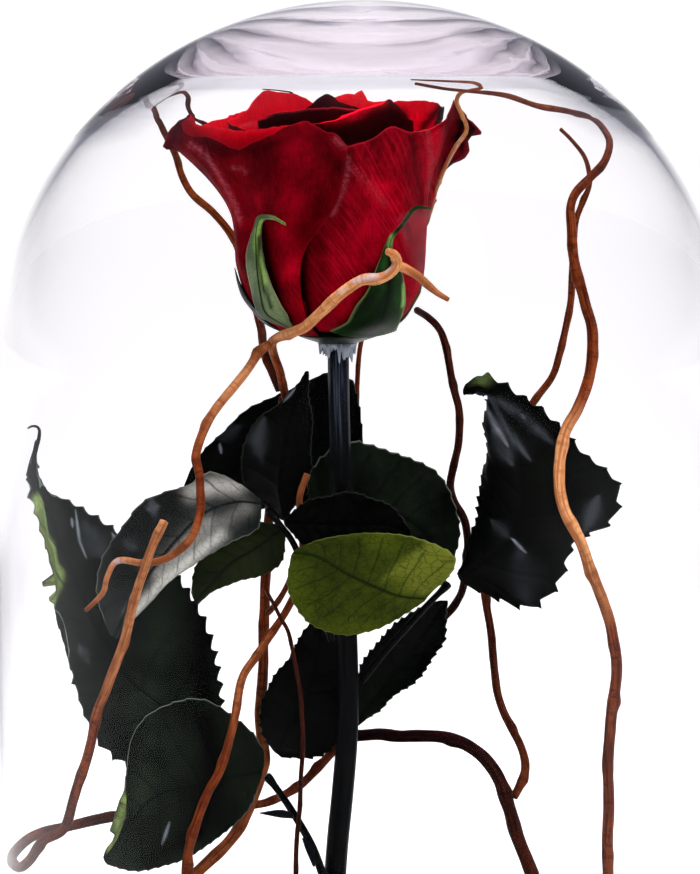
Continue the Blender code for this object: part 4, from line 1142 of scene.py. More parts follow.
# Leaves as three lines from foot to tip: one edge, the midrib, the other edge.
LEAVES = {
    "leaf_far_left": (((196, 752, 2), (220, 715, 3), (220, 675, 4), (205, 618, 5), (165, 560, 5),
        (123, 533, 4), (74, 504, 3), (43, 489, 1), (36, 460, 0), (38, 440, -1)), ((190, 754, 2),
        (161, 707, 6), (125, 676, 8), (100, 635, 8), (75, 580, 7), (55, 530, 5), (40, 490, 2),
        (33, 462, 0), (36, 440, -1)), ((182, 757, 2), (150, 778, 4), (120, 762, 5), (96, 740, 5),
        (76, 696, 4), (64, 640, 2), (50, 590, 0), (32, 515, 0), (26, 480, -1), (34, 440, -1))),
    "leaf_silver": (((262, 500, -8), (240, 485, -10), (210, 471, -13), (185, 486, -15), (145, 500, -15),
        (122, 526, -15), (101, 562, -14), (97, 596, -14), (110, 634, -14)), ((262, 503, -8),
        (235, 502, -7), (205, 512, -8), (180, 535, -10), (155, 565, -11), (130, 602, -12),
        (114, 637, -14)), ((262, 506, -8), (258, 528, -8), (232, 542, -9), (194, 564, -11),
        (165, 587, -13), (138, 614, -14), (118, 638, -15))),
    "leaf_low_left": (((264, 766, -9), (263, 748, -10), (245, 724, -12), (201, 698, -15),
        (156, 709, -17), (134, 733, -17), (127, 766, -17), (124, 800, -18), (104, 856, -20)),
        ((262, 770, -9), (230, 777, -12), (190, 786, -14), (155, 796, -15), (128, 825, -16),
        (105, 860, -20)), ((262, 775, -9), (246, 813, -12), (196, 853, -16), (163, 866, -18),
        (135, 871, -19), (108, 864, -20))),
    "leaf_behind_top": (((363, 447, 18), (361, 410, 18), (352, 380, 17), (328, 373, 17), (268, 399, 17),
        (237, 417, 16), (201, 453, 16), (184, 484, 16)), ((361, 450, 18), (320, 440, 20),
        (270, 445, 20), (225, 465, 18), (184, 487, 16)), ((357, 454, 18), (325, 495, 18),
        (270, 508, 18), (220, 503, 17), (186, 490, 16))),
    "leaf_upright": (((281, 519, -5), (258, 500, -4), (245, 484, -3), (241, 457, -2), (248, 433, -2),
        (262, 415, -3), (280, 401, -4), (297, 385, -5), (305, 372, -6)), ((284, 520, -5),
        (278, 490, -2), (280, 460, 0), (286, 430, -1), (295, 402, -3), (303, 386, -5), (307, 371, -6)),
        ((287, 519, -5), (294, 505, -4), (305, 490, -3), (311, 470, -2), (312, 440, -2), (312, 412, -3),
        (309, 390, -5), (309, 372, -6))),
    "leaf_behind_right": (((310, 512, 8), (308, 475, 8), (328, 450, 9), (351, 441, 9), (382, 447, 10),
        (416, 460, 10), (445, 481, 11), (460, 523, 12), (455, 556, 12), (446, 580, 12)), ((312, 515, 8),
        (345, 505, 10), (390, 510, 12), (425, 535, 13), (444, 583, 12)), ((314, 518, 8), (335, 545, 8),
        (370, 572, 9), (410, 588, 11), (440, 585, 12))),
    "leaf_across": (((284, 518, -13), (306, 501, -13), (346, 492, -13), (382, 501, -12),
        (400, 514, -11), (411, 530, -11)), ((284, 522, -13), (310, 524, -11), (350, 525, -10),
        (385, 525, -10), (411, 534, -11)), ((286, 526, -13), (304, 545, -12), (340, 556, -12),
        (375, 553, -11), (410, 538, -11))),
    "leaf_lit": (((428, 595, -11), (450, 575, -14), (455, 557, -16), (438, 545, -17), (402, 534, -18),
        (360, 533, -19), (320, 539, -20), (296, 549, -20)), ((426, 598, -11), (395, 594, -16),
        (350, 575, -18), (318, 557, -20), (293, 552, -20)), ((424, 601, -11), (398, 619, -14),
        (373, 630, -16), (342, 635, -17), (311, 624, -18), (295, 606, -19), (287, 584, -20),
        (291, 556, -20))),
    "leaf_right": (((457, 573, -6), (466, 552, -4), (473, 516, -2), (483, 479, 0), (484, 434, 1),
        (486, 402, 0), (482, 392, -2), (464, 395, -6)), ((459, 578, -6), (495, 552, -9), (520, 510, -9),
        (520, 460, -7), (505, 420, -5), (490, 393, -4), (463, 390, -6)), ((462, 582, -6),
        (490, 598, -6), (530, 607, -4), (560, 582, -2), (578, 545, 0), (612, 520, 2), (617, 483, 2),
        (587, 453, 0), (545, 412, -2), (508, 386, -5), (484, 374, -7), (466, 384, -8))),
    "leaf_olive": (((280, 524, 3), (245, 520, 4), (215, 535, 4), (195, 565, 4), (191, 592, 3)),
        ((283, 529, 3), (255, 548, 2), (225, 567, 2), (194, 600, 3)), ((286, 534, 3), (282, 562, 2),
        (262, 575, 2), (240, 581, 2), (215, 590, 2), (198, 604, 3))),
    "leaf_low_middle": (((274, 751, 3), (262, 735, 4), (260, 712, 5), (263, 694, 5), (288, 656, 6),
        (305, 630, 7), (318, 612, 7)), ((278, 754, 3), (293, 722, 7), (308, 690, 8), (318, 655, 9),
        (322, 610, 7)), ((282, 757, 3), (312, 758, 6), (335, 747, 7), (345, 715, 7), (345, 680, 8),
        (340, 645, 8), (327, 610, 7))),
    "leaf_low_right": (((352, 722, 7), (352, 690, 8), (366, 655, 9), (392, 626, 9), (420, 606, 9),
        (440, 600, 9)), ((355, 724, 7), (378, 692, 10), (402, 660, 11), (426, 630, 11), (444, 600, 9)),
        ((359, 725, 7), (395, 697, 8), (421, 676, 9), (438, 652, 9), (447, 630, 9), (448, 600, 9))),
}

# Teeth a side, tooth length and edge wave in millimetres.
LEAF_EDGES = {
    "leaf_far_left": (24, 1.9, 0.7), "leaf_silver": (16, 0.4, 0.4), "leaf_low_left": (20, 0.4, 0.2),
    "leaf_behind_top": (18, 0.6, 0.8), "leaf_upright": (18, 0.6, 0.6),
    "leaf_behind_right": (22, 0.8, 0.7), "leaf_across": (16, 0.6, 0.5), "leaf_lit": (18, 0.45, 0.35),
    "leaf_right": (20, 2.0, 0.9), "leaf_olive": (14, 0.5, 0.4), "leaf_low_middle": (18, 0.8, 0.6),
    "leaf_low_right": (18, 0.9, 0.6),
}

# Pairs of side veins, and how far forward they slant.
VEIN_PAIRS = 9
VEIN_SLANT = 0.16
# Leaves whose veins are flatter, with the share of their depth that is left.
FLAT_LEAVES = {"leaf_low_left": 0.3}

# Where a leaf shows its pale underside or a lighter part: side (-1 first edge, 1 other), from and to
# along the leaf, how wide as a share of that side, and how far that edge curls up in millimetres.
PALE_PARTS = {
    "leaf_far_left": (1, 0.58, 0.87, 0.85, 1.2), "leaf_low_left": (-1, 0.76, 0.99, 0.95, 1.0),
    "leaf_right": (1, 0.9, 1.0, 0.8, 0.6), "leaf_lit": (-1, 0.02, 0.42, 0.9, 0.0),
}

# How light a leaf is overall, then strokes on leaves as on the petals: darker and lighter ones of
# painted shade and light, silvery ones of painted sheen, and chalky blue-white ones that are partly
# white scratches and partly painted sheen and highlights.
LEAF_LIGHT = {
    "leaf_far_left": 5.0, "leaf_behind_right": 4.2, "leaf_across": 0.5, "leaf_low_middle": 0.8,
    "leaf_right": 0.5, "leaf_upright": 0.6, "leaf_low_left": 3.6,
}
LEAF_STROKES = {
    "leaf_silver": ((((118, 570), (128, 540), (148, 515), (172, 500)), 20, -0.75), (((205, 512),
        (180, 535), (155, 565)), 3, -0.5), (((240, 520), (225, 530)), 8, -0.35)),
    "leaf_far_left": ((((100, 570), (110, 600), (112, 640)), 16, -5.6), (((155, 610), (150, 690)), 16,
        4.0), (((200, 590), (205, 700)), 18, -5.2), (((70, 640), (92, 690)), 12, 5.0), (((112, 720),
        (125, 750)), 14, -3.0), (((42, 500), (62, 560)), 10, 3.0)),
    "leaf_low_left": ((((150, 725), (140, 800)), 12, 3.0), (((175, 730), (170, 790)), 9, 1.6),
        (((205, 720), (215, 770), (200, 830)), 14, -3.8), (((150, 860), (185, 840)), 8, -2.6)),
    "leaf_lit": ((((320, 575), (330, 610)), 18, -0.25), (((360, 540), (330, 548)), 8, -0.3)),
}
# Painted sheen: silvery bands on the silver leaf.
LEAF_PAINTED_SHEEN = {
    "leaf_silver": ((((190, 492), (214, 485), (236, 485)), 9, 0.95), (((222, 534), (190, 560),
        (160, 586), (132, 614)), 6, 1.0), (((208, 524), (182, 548), (160, 574)), 10, 0.45),
        (((246, 508), (226, 522)), 8, 0.3)),
}
# Chalky marks: white scratches, and painted bluish sheen and highlights.
LEAF_SCRATCHES_AND_SHEEN = {
    "leaf_far_left": ((((75, 509), (77, 526), (79, 541), (86, 558)), 1.4, 0.9), (((71, 517), (72, 527)),
        1.3, 0.8), (((112, 533), (122, 548)), 1.8, 0.8), (((84, 522), (96, 545), (104, 556)), 12, 0.09),
        (((116, 572), (122, 600)), 9, 0.06), (((78, 645), (88, 662)), 6, 0.2)),
    "leaf_silver": ((((148, 508), (158, 506)), 8, 0.22), (((124, 540), (136, 548)), 8, 0.1)),
    "leaf_upright": ((((264, 418), (257, 440), (262, 462)), 8, 0.07), (((283, 402), (296, 388)), 1.2,
        0.3)),
    "leaf_behind_top": ((((219, 443), (221, 453)), 1.4, 0.8), (((214, 438), (240, 426)), 8, 0.06)),
    "leaf_low_left": ((((170, 821), (166, 833), (162, 844)), 1.3, 0.6),),
    "leaf_right": ((((477, 392), (500, 401), (523, 416), (543, 434), (553, 444)), 5, 0.1), (((484, 402),
        (496, 426), (508, 446)), 3.0, 0.45), (((493, 430), (512, 464)), 8, 0.08), (((490, 398),
        (509, 433), (530, 460)), 4, 0.1), (((598, 496), (585, 530)), 8, 0.1), (((518, 545), (530, 604)),
        14, 0.06), (((492, 520), (509, 538)), 6, 0.05), (((511, 537), (526, 553)), 1.2, 0.9),
        (((521, 414), (525, 419)), 1.6, 0.3)),
}

# Leaf stalks: line, and the radius at both ends.
STALKS = {
    "stalk_right": (((362, 680, -1), (385, 651, -3), (405, 629, -5), (428, 604, -6), (449, 583, -6)),
        1.1, 0.8),
    "stalk_left": (((332, 640, -3), (320, 606, -6), (304, 566, -10), (292, 540, -10), (280, 524, -9),
        (268, 508, -8)), 1.0, 0.8),
    "stalk_low": (((325, 880, -3), (312, 845, -5), (292, 810, -6), (277, 788, -7), (267, 775, -8)), 1.2,
        0.9),
}

# Thin hooked leaf tips: line, and the radius at both ends.
LEAF_TIPS = {
    "leaf_far_left": (((28, 476, -0.5), (31, 462, -0.5), (35, 448, -1), (38, 438, -1),
        (38.5, 430, -1.5), (36, 426.5, -2), (31, 426, -2.5), (27, 428, -3)), 1.0, 0.25),
}

# Small pointed flaps on the leaf stalks, each as its two edges from foot to tip.
STIPULES = {
    "stalk_low": ((((292, 812, -7.5), (280, 809, -9), (259, 812, -11)), ((295, 818, -7.5),
        (280, 817, -9.5), (260, 813, -11))), (((302, 838, -7), (306, 850, -9), (313, 866, -10)),
        ((305, 836, -7), (314, 848, -9), (315, 866, -10)))),
}

# Willow twigs: line from the thick end, radii evenly spaced along it, the twig it leaves, and how
# light its bark is evenly along it, from 0 nearly black to 1 light orange-tan.
TWIGS = {
    "willow_left_trunk": (((108, 1100, 20), (135, 980, 14), (165, 905, 8), (201, 868, 4), (237, 830, 2),
        (257, 785, 4), (264, 756, 8), (260, 725, 11), (262, 680, 12), (264, 620, 12), (266, 574, 12),
        (268, 530, 12), (272, 480, 11), (279, 430, 10), (283, 398, 8)), (1.8, 1.25), None, (0.45, 0.5,
        0.55, 0.55, 0.4, 0.2)),
    "willow_left_top": (((283, 398, 8), (272, 371, 8), (264, 350, 12), (260, 325, 22), (252, 290, 32),
        (240, 255, 36), (233, 238, 37), (214, 214, 38), (193, 195, 38), (180, 173, 37), (173, 150, 34),
        (161, 127, 28), (149, 104, 22), (144, 93, 20), (151, 87, 20), (168, 84, 21), (180, 86, 22),
        (187, 95, 23), (187, 104, 24), (196, 118, 28), (226, 129, 34), (255, 119, 41), (280, 97, 43),
        (291, 89, 41), (278, 84, 37), (262, 83, 35)), (1.2, 1.2, 1.15, 1.05, 0.95, 0.75, 0.6, 0.5, 0.4),
        "willow_left_trunk", (0.15, 0.3, 0.5, 0.5, 0.4, 0.35, 0.15, 0.1, 0.05)),
    "willow_front_right": (((286, 400, 4), (281, 375, -2), (275, 360, -6), (272, 345, -11),
        (278, 338, -17), (295, 331, -26), (306, 326, -30), (322, 312, -33), (335, 299, -35),
        (351, 287, -36), (364, 280, -37), (378, 279, -38), (390, 274, -39), (397, 265, -40),
        (395, 256, -41), (388, 252, -43)), (1.15, 1.15, 1.2, 1.35, 1.4, 1.45, 1.4, 1.0),
        "willow_left_trunk", (0.3, 0.5, 0.85, 0.95, 1.0, 1.0)),
    "willow_front_left": (((275, 342, -14), (262, 350, -15), (248, 369, -20), (233, 387, -24),
        (217, 407, -28), (204, 430, -31), (196, 455, -34), (200, 475, -35), (201, 494, -36),
        (200, 512, -37), (192, 537, -38), (177, 552, -37), (160, 560, -36), (143, 562, -34),
        (118, 561, -32), (108, 577, -33), (104, 593, -33), (87, 610, -31)), (1.2, 1.15, 1.05, 0.6),
        "willow_front_right", (0.6, 0.75, 0.55, 0.45, 0.65, 0.8, 0.6)),
    "willow_spur": (((398, 266, -40), (408, 271, -38), (418, 277, -38), (436, 292, -40),
        (448, 300, -41)), (1.25, 1.1, 0.6), "willow_front_right", (0.95, 0.7, 0.55)),
    "willow_loop": (((247, 812, 2), (200, 812, 0), (160, 806, 4), (117, 815, 3), (89, 821, 0),
        (56, 829, -6), (33, 836, -10), (17, 849, -13), (12, 859, -15), (20, 867, -18), (32, 859, -21),
        (45, 840, -24), (65, 829, -27), (74, 801, -29), (89, 756, -30), (98, 712, -31), (107, 689, -32),
        (124, 645, -33), (134, 605, -35), (148, 560, -40), (165, 521, -42)), (1.5, 1.15),
        "willow_left_trunk", (0.05, 0.12, 0.3, 0.35, 0.5, 0.8, 0.75)),
    "willow_cross": (((252, 805, 3), (270, 800, 6), (300, 785, 12), (332, 752, 18), (345, 738, 18)),
        (1.1, 1.3), "willow_left_trunk", (0.3, 0.15)),
    "willow_front_trunk": (((187, 1110, -34), (187, 980, -34), (187, 874, -32), (192, 837, -31),
        (208, 794, -29), (221, 767, -27), (234, 720, -23), (242, 678, -18), (257, 654, -14),
        (274, 629, -9), (288, 607, -5), (299, 585, -3), (303, 560, -3), (303, 541, -5), (301, 515, -7),
        (300, 495, -9), (307, 474, -10)), (1.5, 0.9), None, (0.2, 0.2, 0.25, 0.5, 0.6, 0.4, 0.6)),
    "willow_side": (((268, 612, 10), (278, 600, 6), (287, 584, 4), (293, 566, 3), (296, 552, 3)),
        (0.9, 0.6), "willow_left_trunk", (0.3, 0.25)),
    "willow_right_trunk": (((560, 1110, -6), (560, 1060, -6), (552, 960, -5), (540, 900, -4),
        (528, 862, -3), (516, 832, -2), (508, 805, -1), (500, 780, 1), (487, 760, 3), (470, 746, 5),
        (450, 738, 7), (430, 735, 9), (400, 736, 12), (380, 734, 15), (355, 735, 18)), (2.2, 1.6), None,
        (0.3, 0.25, 0.1, 0.02, 0.0)),
    "willow_right_back": (((511, 800, 0), (519, 787, 2), (525, 770, 6), (523, 752, 10), (513, 730, 14),
        (504, 712, 17), (497, 690, 19), (494, 660, 21), (491, 630, 22), (487, 605, 23), (483, 570, 24),
        (490, 520, 25), (510, 450, 25), (532, 405, 25), (552, 378, 25), (560, 356, 24), (566, 329, 22),
        (571, 300, 20), (573, 270, 17), (574, 245, 14), (577, 219, 12), (589, 187, 10), (589, 170, 9),
        (584, 154, 7), (573, 140, 5), (561, 129, 3)), (1.2, 1.15, 1.1, 1.05, 1.0, 0.9, 0.5),
        "willow_right_trunk", (0.25, 0.15, 0.3, 0.35, 0.4, 0.35)),
    "willow_right": (((600, 1110, -14), (604, 1060, -14), (607, 980, -15), (607, 874, -17),
        (608, 801, -19), (609, 734, -21), (615, 678, -23), (615, 651, -24), (608, 618, -26),
        (599, 592, -27), (589, 568, -28), (580, 543, -29), (570, 523, -29), (562, 501, -28),
        (559, 478, -27), (560, 452, -25), (565, 430, -23), (578, 407, -21), (587, 383, -19),
        (592, 356, -18), (591, 325, -17), (584, 300, -16), (574, 262, -15), (571, 228, -14),
        (570, 209, -13), (576, 193, -12), (590, 178, -11), (604, 162, -10), (610, 144, -9),
        (607, 130, -9), (599, 118, -10), (588, 112, -11), (570, 110, -14), (539, 108, -18),
        (502, 97, -22), (462, 92, -26), (441, 89, -28), (415, 83, -30)), (1.5, 1.5, 1.5, 1.5, 1.5, 1.5,
        1.5, 1.4, 1.05, 0.75, 0.5), None, (0.35, 0.35, 0.35, 0.35, 0.38, 0.4, 0.42, 0.45, 0.5, 0.75,
        1.0, 0.95, 0.5, 0.38, 0.4, 0.4, 0.4, 0.38, 0.35, 0.3, 0.25)),
    "willow_middle": (((336, 1105, 22), (335, 960, 22), (338, 839, 22), (344, 770, 23), (354, 722, 24),
        (372, 700, 24), (402, 664, 25), (430, 632, 25), (450, 611, 25), (457, 601, 24), (463, 588, 22),
        (467, 560, 19), (466, 523, 17), (454, 501, 16), (450, 485, 15), (455, 463, 13), (459, 441, 11),
        (459, 412, 11), (454, 389, 12), (446, 349, 15), (439, 329, 20), (428, 317, 24), (417, 310, 30)),
        (1.3, 1.0), None, (0.1, 0.1, 0.12, 0.03, 0.1, 0.05)),
    "willow_thin_back": (((333, 1105, 36), (335, 960, 36), (340, 839, 36), (346, 760, 36),
        (349, 640, 36), (352, 520, 34), (356, 440, 33), (358, 380, 34), (362, 338, 38), (380, 295, 38),
        (405, 262, 31), (418, 240, 22), (425, 225, 15), (431, 208, 9), (435, 192, 5), (440, 178, -4),
        (448, 161, -9), (457, 146, -12), (467, 131, -13), (462, 117, -14), (456, 103, -15),
        (462, 94, -18), (481, 88, -22), (474, 82, -23), (447, 79, -25), (411, 75, -27)), (0.9, 0.8,
        0.75, 0.7, 0.6, 0.55), None, (0.2, 0.2, 0.2, 0.25, 0.3, 0.3, 0.3, 0.3, 0.45, 0.85, 0.85, 0.3)),
    "willow_thin_front": (((300, 1110, -20), (300, 1050, -20), (298, 960, -21), (296, 900, -22),
        (297, 845, -22), (300, 801, -22), (303, 756, -22), (302, 712, -21), (300, 689, -21),
        (290, 638, -17), (280, 617, -13), (272, 600, -9), (266, 590, -5)), (0.8, 0.5), None,
        (0.05, 0.1)),
}

# Bare pale scars on the twigs, given as strokes in the front view.
TWIG_SCARS = {
    "willow_front_right": ((((356, 281), (366, 278), (375, 276)), 2.6, 1.0), (((338, 294), (345, 288)),
        1.8, 0.5), (((384, 273), (393, 267)), 1.6, 0.5)),
    "willow_front_left": ((((116, 561), (122, 562)), 3.0, 0.7), (((214, 398), (219, 394)), 2.0, 0.3)),
    "willow_thin_back": ((((460, 140), (449, 164)), 1.2, 0.35),),
}


def along(values, share):
    """The value at this share of the way through evenly spaced values."""
    place = share * (len(values) - 1)
    i = min(int(place), len(values) - 2)
    return values[i] + (values[i + 1] - values[i]) * (place - i)


def clear_of(path, parent, gap):
    """The path without its first places that lie within gap of the parent line."""
    first = 0
    while first < len(path) - 3:
        if min((path[first] - place).length for place in parent) > gap:
            break
        first += 1
    return path[first:]


def above_base(path):
    """The path with its foot cut level with the top of the base."""
    kept = [p for p in path if p.z > PLANT_FOOT + 2.0]
    below = [p for p in path if p.z <= PLANT_FOOT + 2.0]
    if not below:
        return path
    foot = kept[0].copy()
    foot.z = PLANT_FOOT + 0.6
    return [foot] + kept


def rod(path, radius_at, sides):
    """A closed rod with the radius given by step and turn, and its run and side numbers."""
    points = []
    faces = []
    run = []
    around = []
    side = None
    gone = 0.0
    last = len(path) - 1
    for i, place in enumerate(path):
        way = (path[min(i + 1, last)] - path[max(i - 1, 0)]).normalized()
        if side is None:
            side = way.orthogonal().normalized()
        side = (side - way * side.dot(way)).normalized()
        other = way.cross(side)
        if i:
            gone += (place - path[i - 1]).length
        for k in range(sides):
            turn = 2 * pi * k / sides
            out = cos(turn) * side + sin(turn) * other
            points.append(place + radius_at(i, turn, gone) * out)
            run.append(gone)
            around.append(sin(turn) + 0.5 * cos(2 * turn))
    for i in range(last):
        for k in range(sides):
            a = i * sides + k
            b = i * sides + (k + 1) % sides
            faces.append((a, b, b + sides, a + sides))
    for ring, place, shift in ((0, path[0], -0.25), (last, path[last], 0.25)):
        tip = len(points)
        way = (path[min(ring + 1, last)] - path[max(ring - 1, 0)]).normalized()
        points.append(place + way * shift)
        run.append(run[ring * sides])
        around.append(0.0)
        for k in range(sides):
            a = ring * sides + k
            b = ring * sides + (k + 1) % sides
            faces.append((b, a, tip) if ring == 0 else (a, b, tip))
    return points, faces, run, around


def make_stem(looks):
    """The stem, the leaf stalks and their small pointed flaps."""
    path = above_base(seen_path(reversed(STEM), STEM_STEPS))

    def radius_at(i, turn, gone):
        ridge = 0.10 * sin(5 * turn + 0.02 * gone) + 0.05 * sin(11 * turn)
        lump = 0.10 * rough_at(gone * 0.05, cos(turn), sin(turn))
        return STEM_RADIUS * (1 + 0.03 * sin(gone * 0.03)) + ridge + lump - 0.08

    points, faces, run, around = rod(path, radius_at, STEM_SIDES)
    # The tone is high near the head, where the painted highlight streaks show.
    tone = [1 - step(6, 32, max(run) - r) for r in run]
    values = {"run": run, "side": around, "tone": tone}
    add_piece("rose_stem", points, faces, looks, "rose_stem", values)
    for name, (line, first, last) in STALKS.items():
        path = seen_path(line, STALK_STEPS)

        def stalk_radius(i, turn, gone, first=first, last=last):
            share = i / STALK_STEPS
            swell = 0.35 * exp(-((share - 0.97) / 0.05) ** 2)
            return first + (last - first) * share + swell + 0.05 * sin(3 * turn)

        points, faces, run, around = rod(path, stalk_radius, STALK_SIDES)
        parts = [(points, faces, {"run": run, "side": around, "tone": [0.0] * len(run)})]
        for line in STIPULES.get(name, ()):
            steps = STIPULE_STEPS
            edges = [seen_path(edge, steps[0]) for edge in line]
            rows = [[one.lerp(other, k / steps[1]) for k in range(steps[1] + 1)]
                    for one, other in zip(*edges)]
            points, faces = sheet(rows, 0.4, 0.5)
            parts.append((points, faces, {"run": [0.0] * len(points), "side": [0.4] * len(points),
                                          "tone": [0.25] * len(points)}))
        points, faces, values = joined(parts)
        add_piece(name, points, faces, looks, "rose_stem", values)


def leaf_grid(name, lines, steps):
    """The leaf's grid of places, and for each its run, side, rim, vein and pale numbers."""
    edges = [seen_path(line, steps[0]) for line in lines]
    teeth, tooth, wave = LEAF_EDGES[name]
    seed = seeded(name).uniform(0, 50)
    rows = []
    run = []
    side = []
    rim = []
    vein = []
    pale = []
    gone = 0.0
    ribs = edges[1]
    facing, begins, ends_at, broad, curl = PALE_PARTS.get(name, (0, 0.0, 1.0, 0.5, 0.0))
    sunk = FLAT_LEAVES.get(name, 1.0)
    for i, (one, rib, other) in enumerate(zip(*edges)):
        v = i / steps[0]
        gone += (rib - ribs[max(i - 1, 0)]).length
        ends = step(0.0, 0.10, v) * (1 - step(0.93, 1.0, v))
        row = []
        for a in shares(steps[1]):
            half = max((one - rib).length if a < 0 else (other - rib).length, 0.3)
            phase = v * teeth + (0.37 if a < 0 else 0.0) + 0.25 * rough_at(v * 9, seed, a)
            saw = phase % 1.0
            bite = saw ** 1.6 if saw < 0.82 else (1 - saw) / 0.18
            reach = (bite - 0.45) * tooth * ends / half * step(0.72, 1.0, abs(a))
            b = a * (1 + reach)
            p = across_three(one, rib, other, b)
            row.append(p)
            slant = v - VEIN_SLANT * abs(a)
            beat = slant * VEIN_PAIRS + 0.12 * rough_at(a * 3, v * 5, seed)
            off = abs(beat - round(beat)) / VEIN_PAIRS
            line = exp(-(off * VEIN_PAIRS / 0.085) ** 2) * (1 - step(0.8, 1.0, abs(a)))
            middle = exp(-(a * half / 0.55) ** 2)
            vein.append(max(middle, 0.7 * line * step(0.04, 0.12, v)))
            run.append(gone)
            side.append(a * half)
            rim.append(step(1 - min(0.5 / half, 0.5), 1.0, abs(a)) * ends)
            reached = step(begins, begins + 0.06, v) * (1 - step(ends_at - 0.06, ends_at, v))
            wander = 0.25 * rough_at(v * 14, seed, 7)
            pale.append(reached * step(1 - broad + wander, 1.05 - 0.6 * broad + wander, a * facing))
        rows.append(row)
    count = steps[1] + 1
    high = len(rows) - 1
    sides = shares(steps[1])
    lifted = []
    for i, row in enumerate(rows):
        v = i / steps[0]
        new = []
        for j, p in enumerate(row):
            up = rows[min(i + 1, high)][j] - rows[max(i - 1, 0)][j]
            over = row[min(j + 1, steps[1])] - row[max(j - 1, 0)]
            normal = over.cross(up).normalized()
            if normal.y > 0:
                normal = -normal
            a = sides[j]
            swing = sin(2 * pi * (v * 3.3 + seed) + (1.4 if a < 0 else 0.0))
            ruffle = rough_at(v * 12, a * 2.5, seed)
            push = wave * abs(a) ** 2 * (0.8 * swing + 0.9 * ruffle)
            push -= 0.22 * sunk * vein[i * count + j]
            push += curl * pale[i * count + j]
            between_veins = cos(2 * pi * VEIN_PAIRS * (v - VEIN_SLANT * abs(a)) + pi)
            push += 0.12 * sunk * between_veins * abs(a) * (1 - abs(a))
            ends = step(0.0, 0.08, v) * (1 - step(0.94, 1.0, v))
            new.append(p + normal * push * ends)
        lifted.append(new)
    return lifted, run, side, rim, vein, pale


def make_leaves(skins):
    """The leaves, one of them with a thin hooked tip."""
    for name, lines in LEAVES.items():
        rows, run, side, rim, vein, pale = leaf_grid(name, lines, FINE_LEAVES.get(name, LEAF_STEPS))
        skin, slot = LEAF_SKINS.get(name, DARK_LEAF)
        # The light numbers paint light and shade.
        light = painted(rows, LEAF_STROKES.get(name, ()), LEAF_LIGHT.get(name, 1.0))
        chalk = painted(rows, LEAF_SCRATCHES_AND_SHEEN.get(name, ()), thinned=0.75)
        patch = [max(*both) for both in zip(pale, painted(rows, LEAF_PAINTED_SHEEN.get(name, ())))]
        light = [a + (min(a, 1.0) - a) * min(b, 1.0) for a, b in zip(light, pale)]
        values = both_sides(run=run, side=side, rim=rim, vein=vein, light=light, chalk=chalk,
                            pale=[min(value, 1.0) for value in patch])
        parts = [(*sheet(rows, LEAF_THICKNESS, 0.5), values)]
        if name in LEAF_TIPS:
            line, first, last = LEAF_TIPS[name]
            path = seen_path(line, TIP_STEPS)
            points, faces, along_it, around = rod(
                path, lambda i, turn, gone: first + (last - first) * i / TIP_STEPS, STALK_SIDES)
            plain = [0.0] * len(points)
            parts.append((points, faces, {"run": along_it, "side": around, "rim": plain, "vein": plain,
                                          "pale": plain, "light": [1.0] * len(points), "chalk": plain}))
        points, faces, values = joined(parts)
        add_piece(name, points, faces, skins[skin], slot, values)


def make_twigs(looks):
    """The willow twigs, faintly wobbled, with buds and darker nodes."""
    lines = {}
    for name, (spots, radii, parent, tones) in TWIGS.items():
        line = seen_path(spots, TWIG_STEPS)
        lines[name] = line
        path = line
        if parent:
            path = clear_of(line, lines[parent], (radii[0] + TWIGS[parent][1][0]) * 0.45)
        long = length_of(path)
        count = max(round(long / TWIG_PITCH), 12)
        path = smooth_path(path, count)
        chance = seeded(name)
        shift = chance.uniform(0, 90)
        places = [Vector((shift, 0, 0)), Vector((0, shift, 0)), Vector((0, 0, shift))]
        wobbled = []
        for i, p in enumerate(path):
            share = min(i, count - i) / count
            bend = 0.35 * step(0.0, 0.05, share)
            q = p * 0.09
            wobbled.append(p + bend * Vector([noise.noise(q + place) for place in places]))
        path = above_base(wobbled)
        buds = []
        at = chance.uniform(4, 10)
        while at < long - 3:
            buds.append((at, chance.uniform(0, 2 * pi), chance.uniform(0.15, 1.0)))
            at += chance.uniform(8, 26)
        total = len(path) - 1

        def radius_at(i, turn, gone, radii=radii, buds=buds, total=total, shift=shift):
            radius = along(radii, i / total)
            rough = rough_at(gone * 0.22, cos(turn) * 0.8, sin(turn) * 0.8 + shift)
            grow = 1 + 0.10 * rough
            for place, where, size in buds:
                near = (gone - place) / (1.1 + 0.5 * radius)
                if abs(near) < 3:
                    facing = max(cos(turn - where), 0.0) ** 3
                    grow += exp(-near * near) * (0.08 + 0.45 * size * facing)
            return radius * grow

        points, faces, run, around = rod(path, radius_at, TWIG_SIDES)
        farthest = max(run)
        tone = [along(tones, r / farthest) for r in run]
        knots = []
        for r in run:
            close = min([abs(r - place) for place, _, _ in buds] + [99.0])
            knots.append(0.4 * exp(-(close / 0.6) ** 2))
        values = {"run": run, "side": around, "tone": tone, "rim": knots,
                  "chalk": painted([points], TWIG_SCARS.get(name, ()))}
        add_piece(name, points, faces, looks, "willow_bark", values)


# Floor, light and camera.


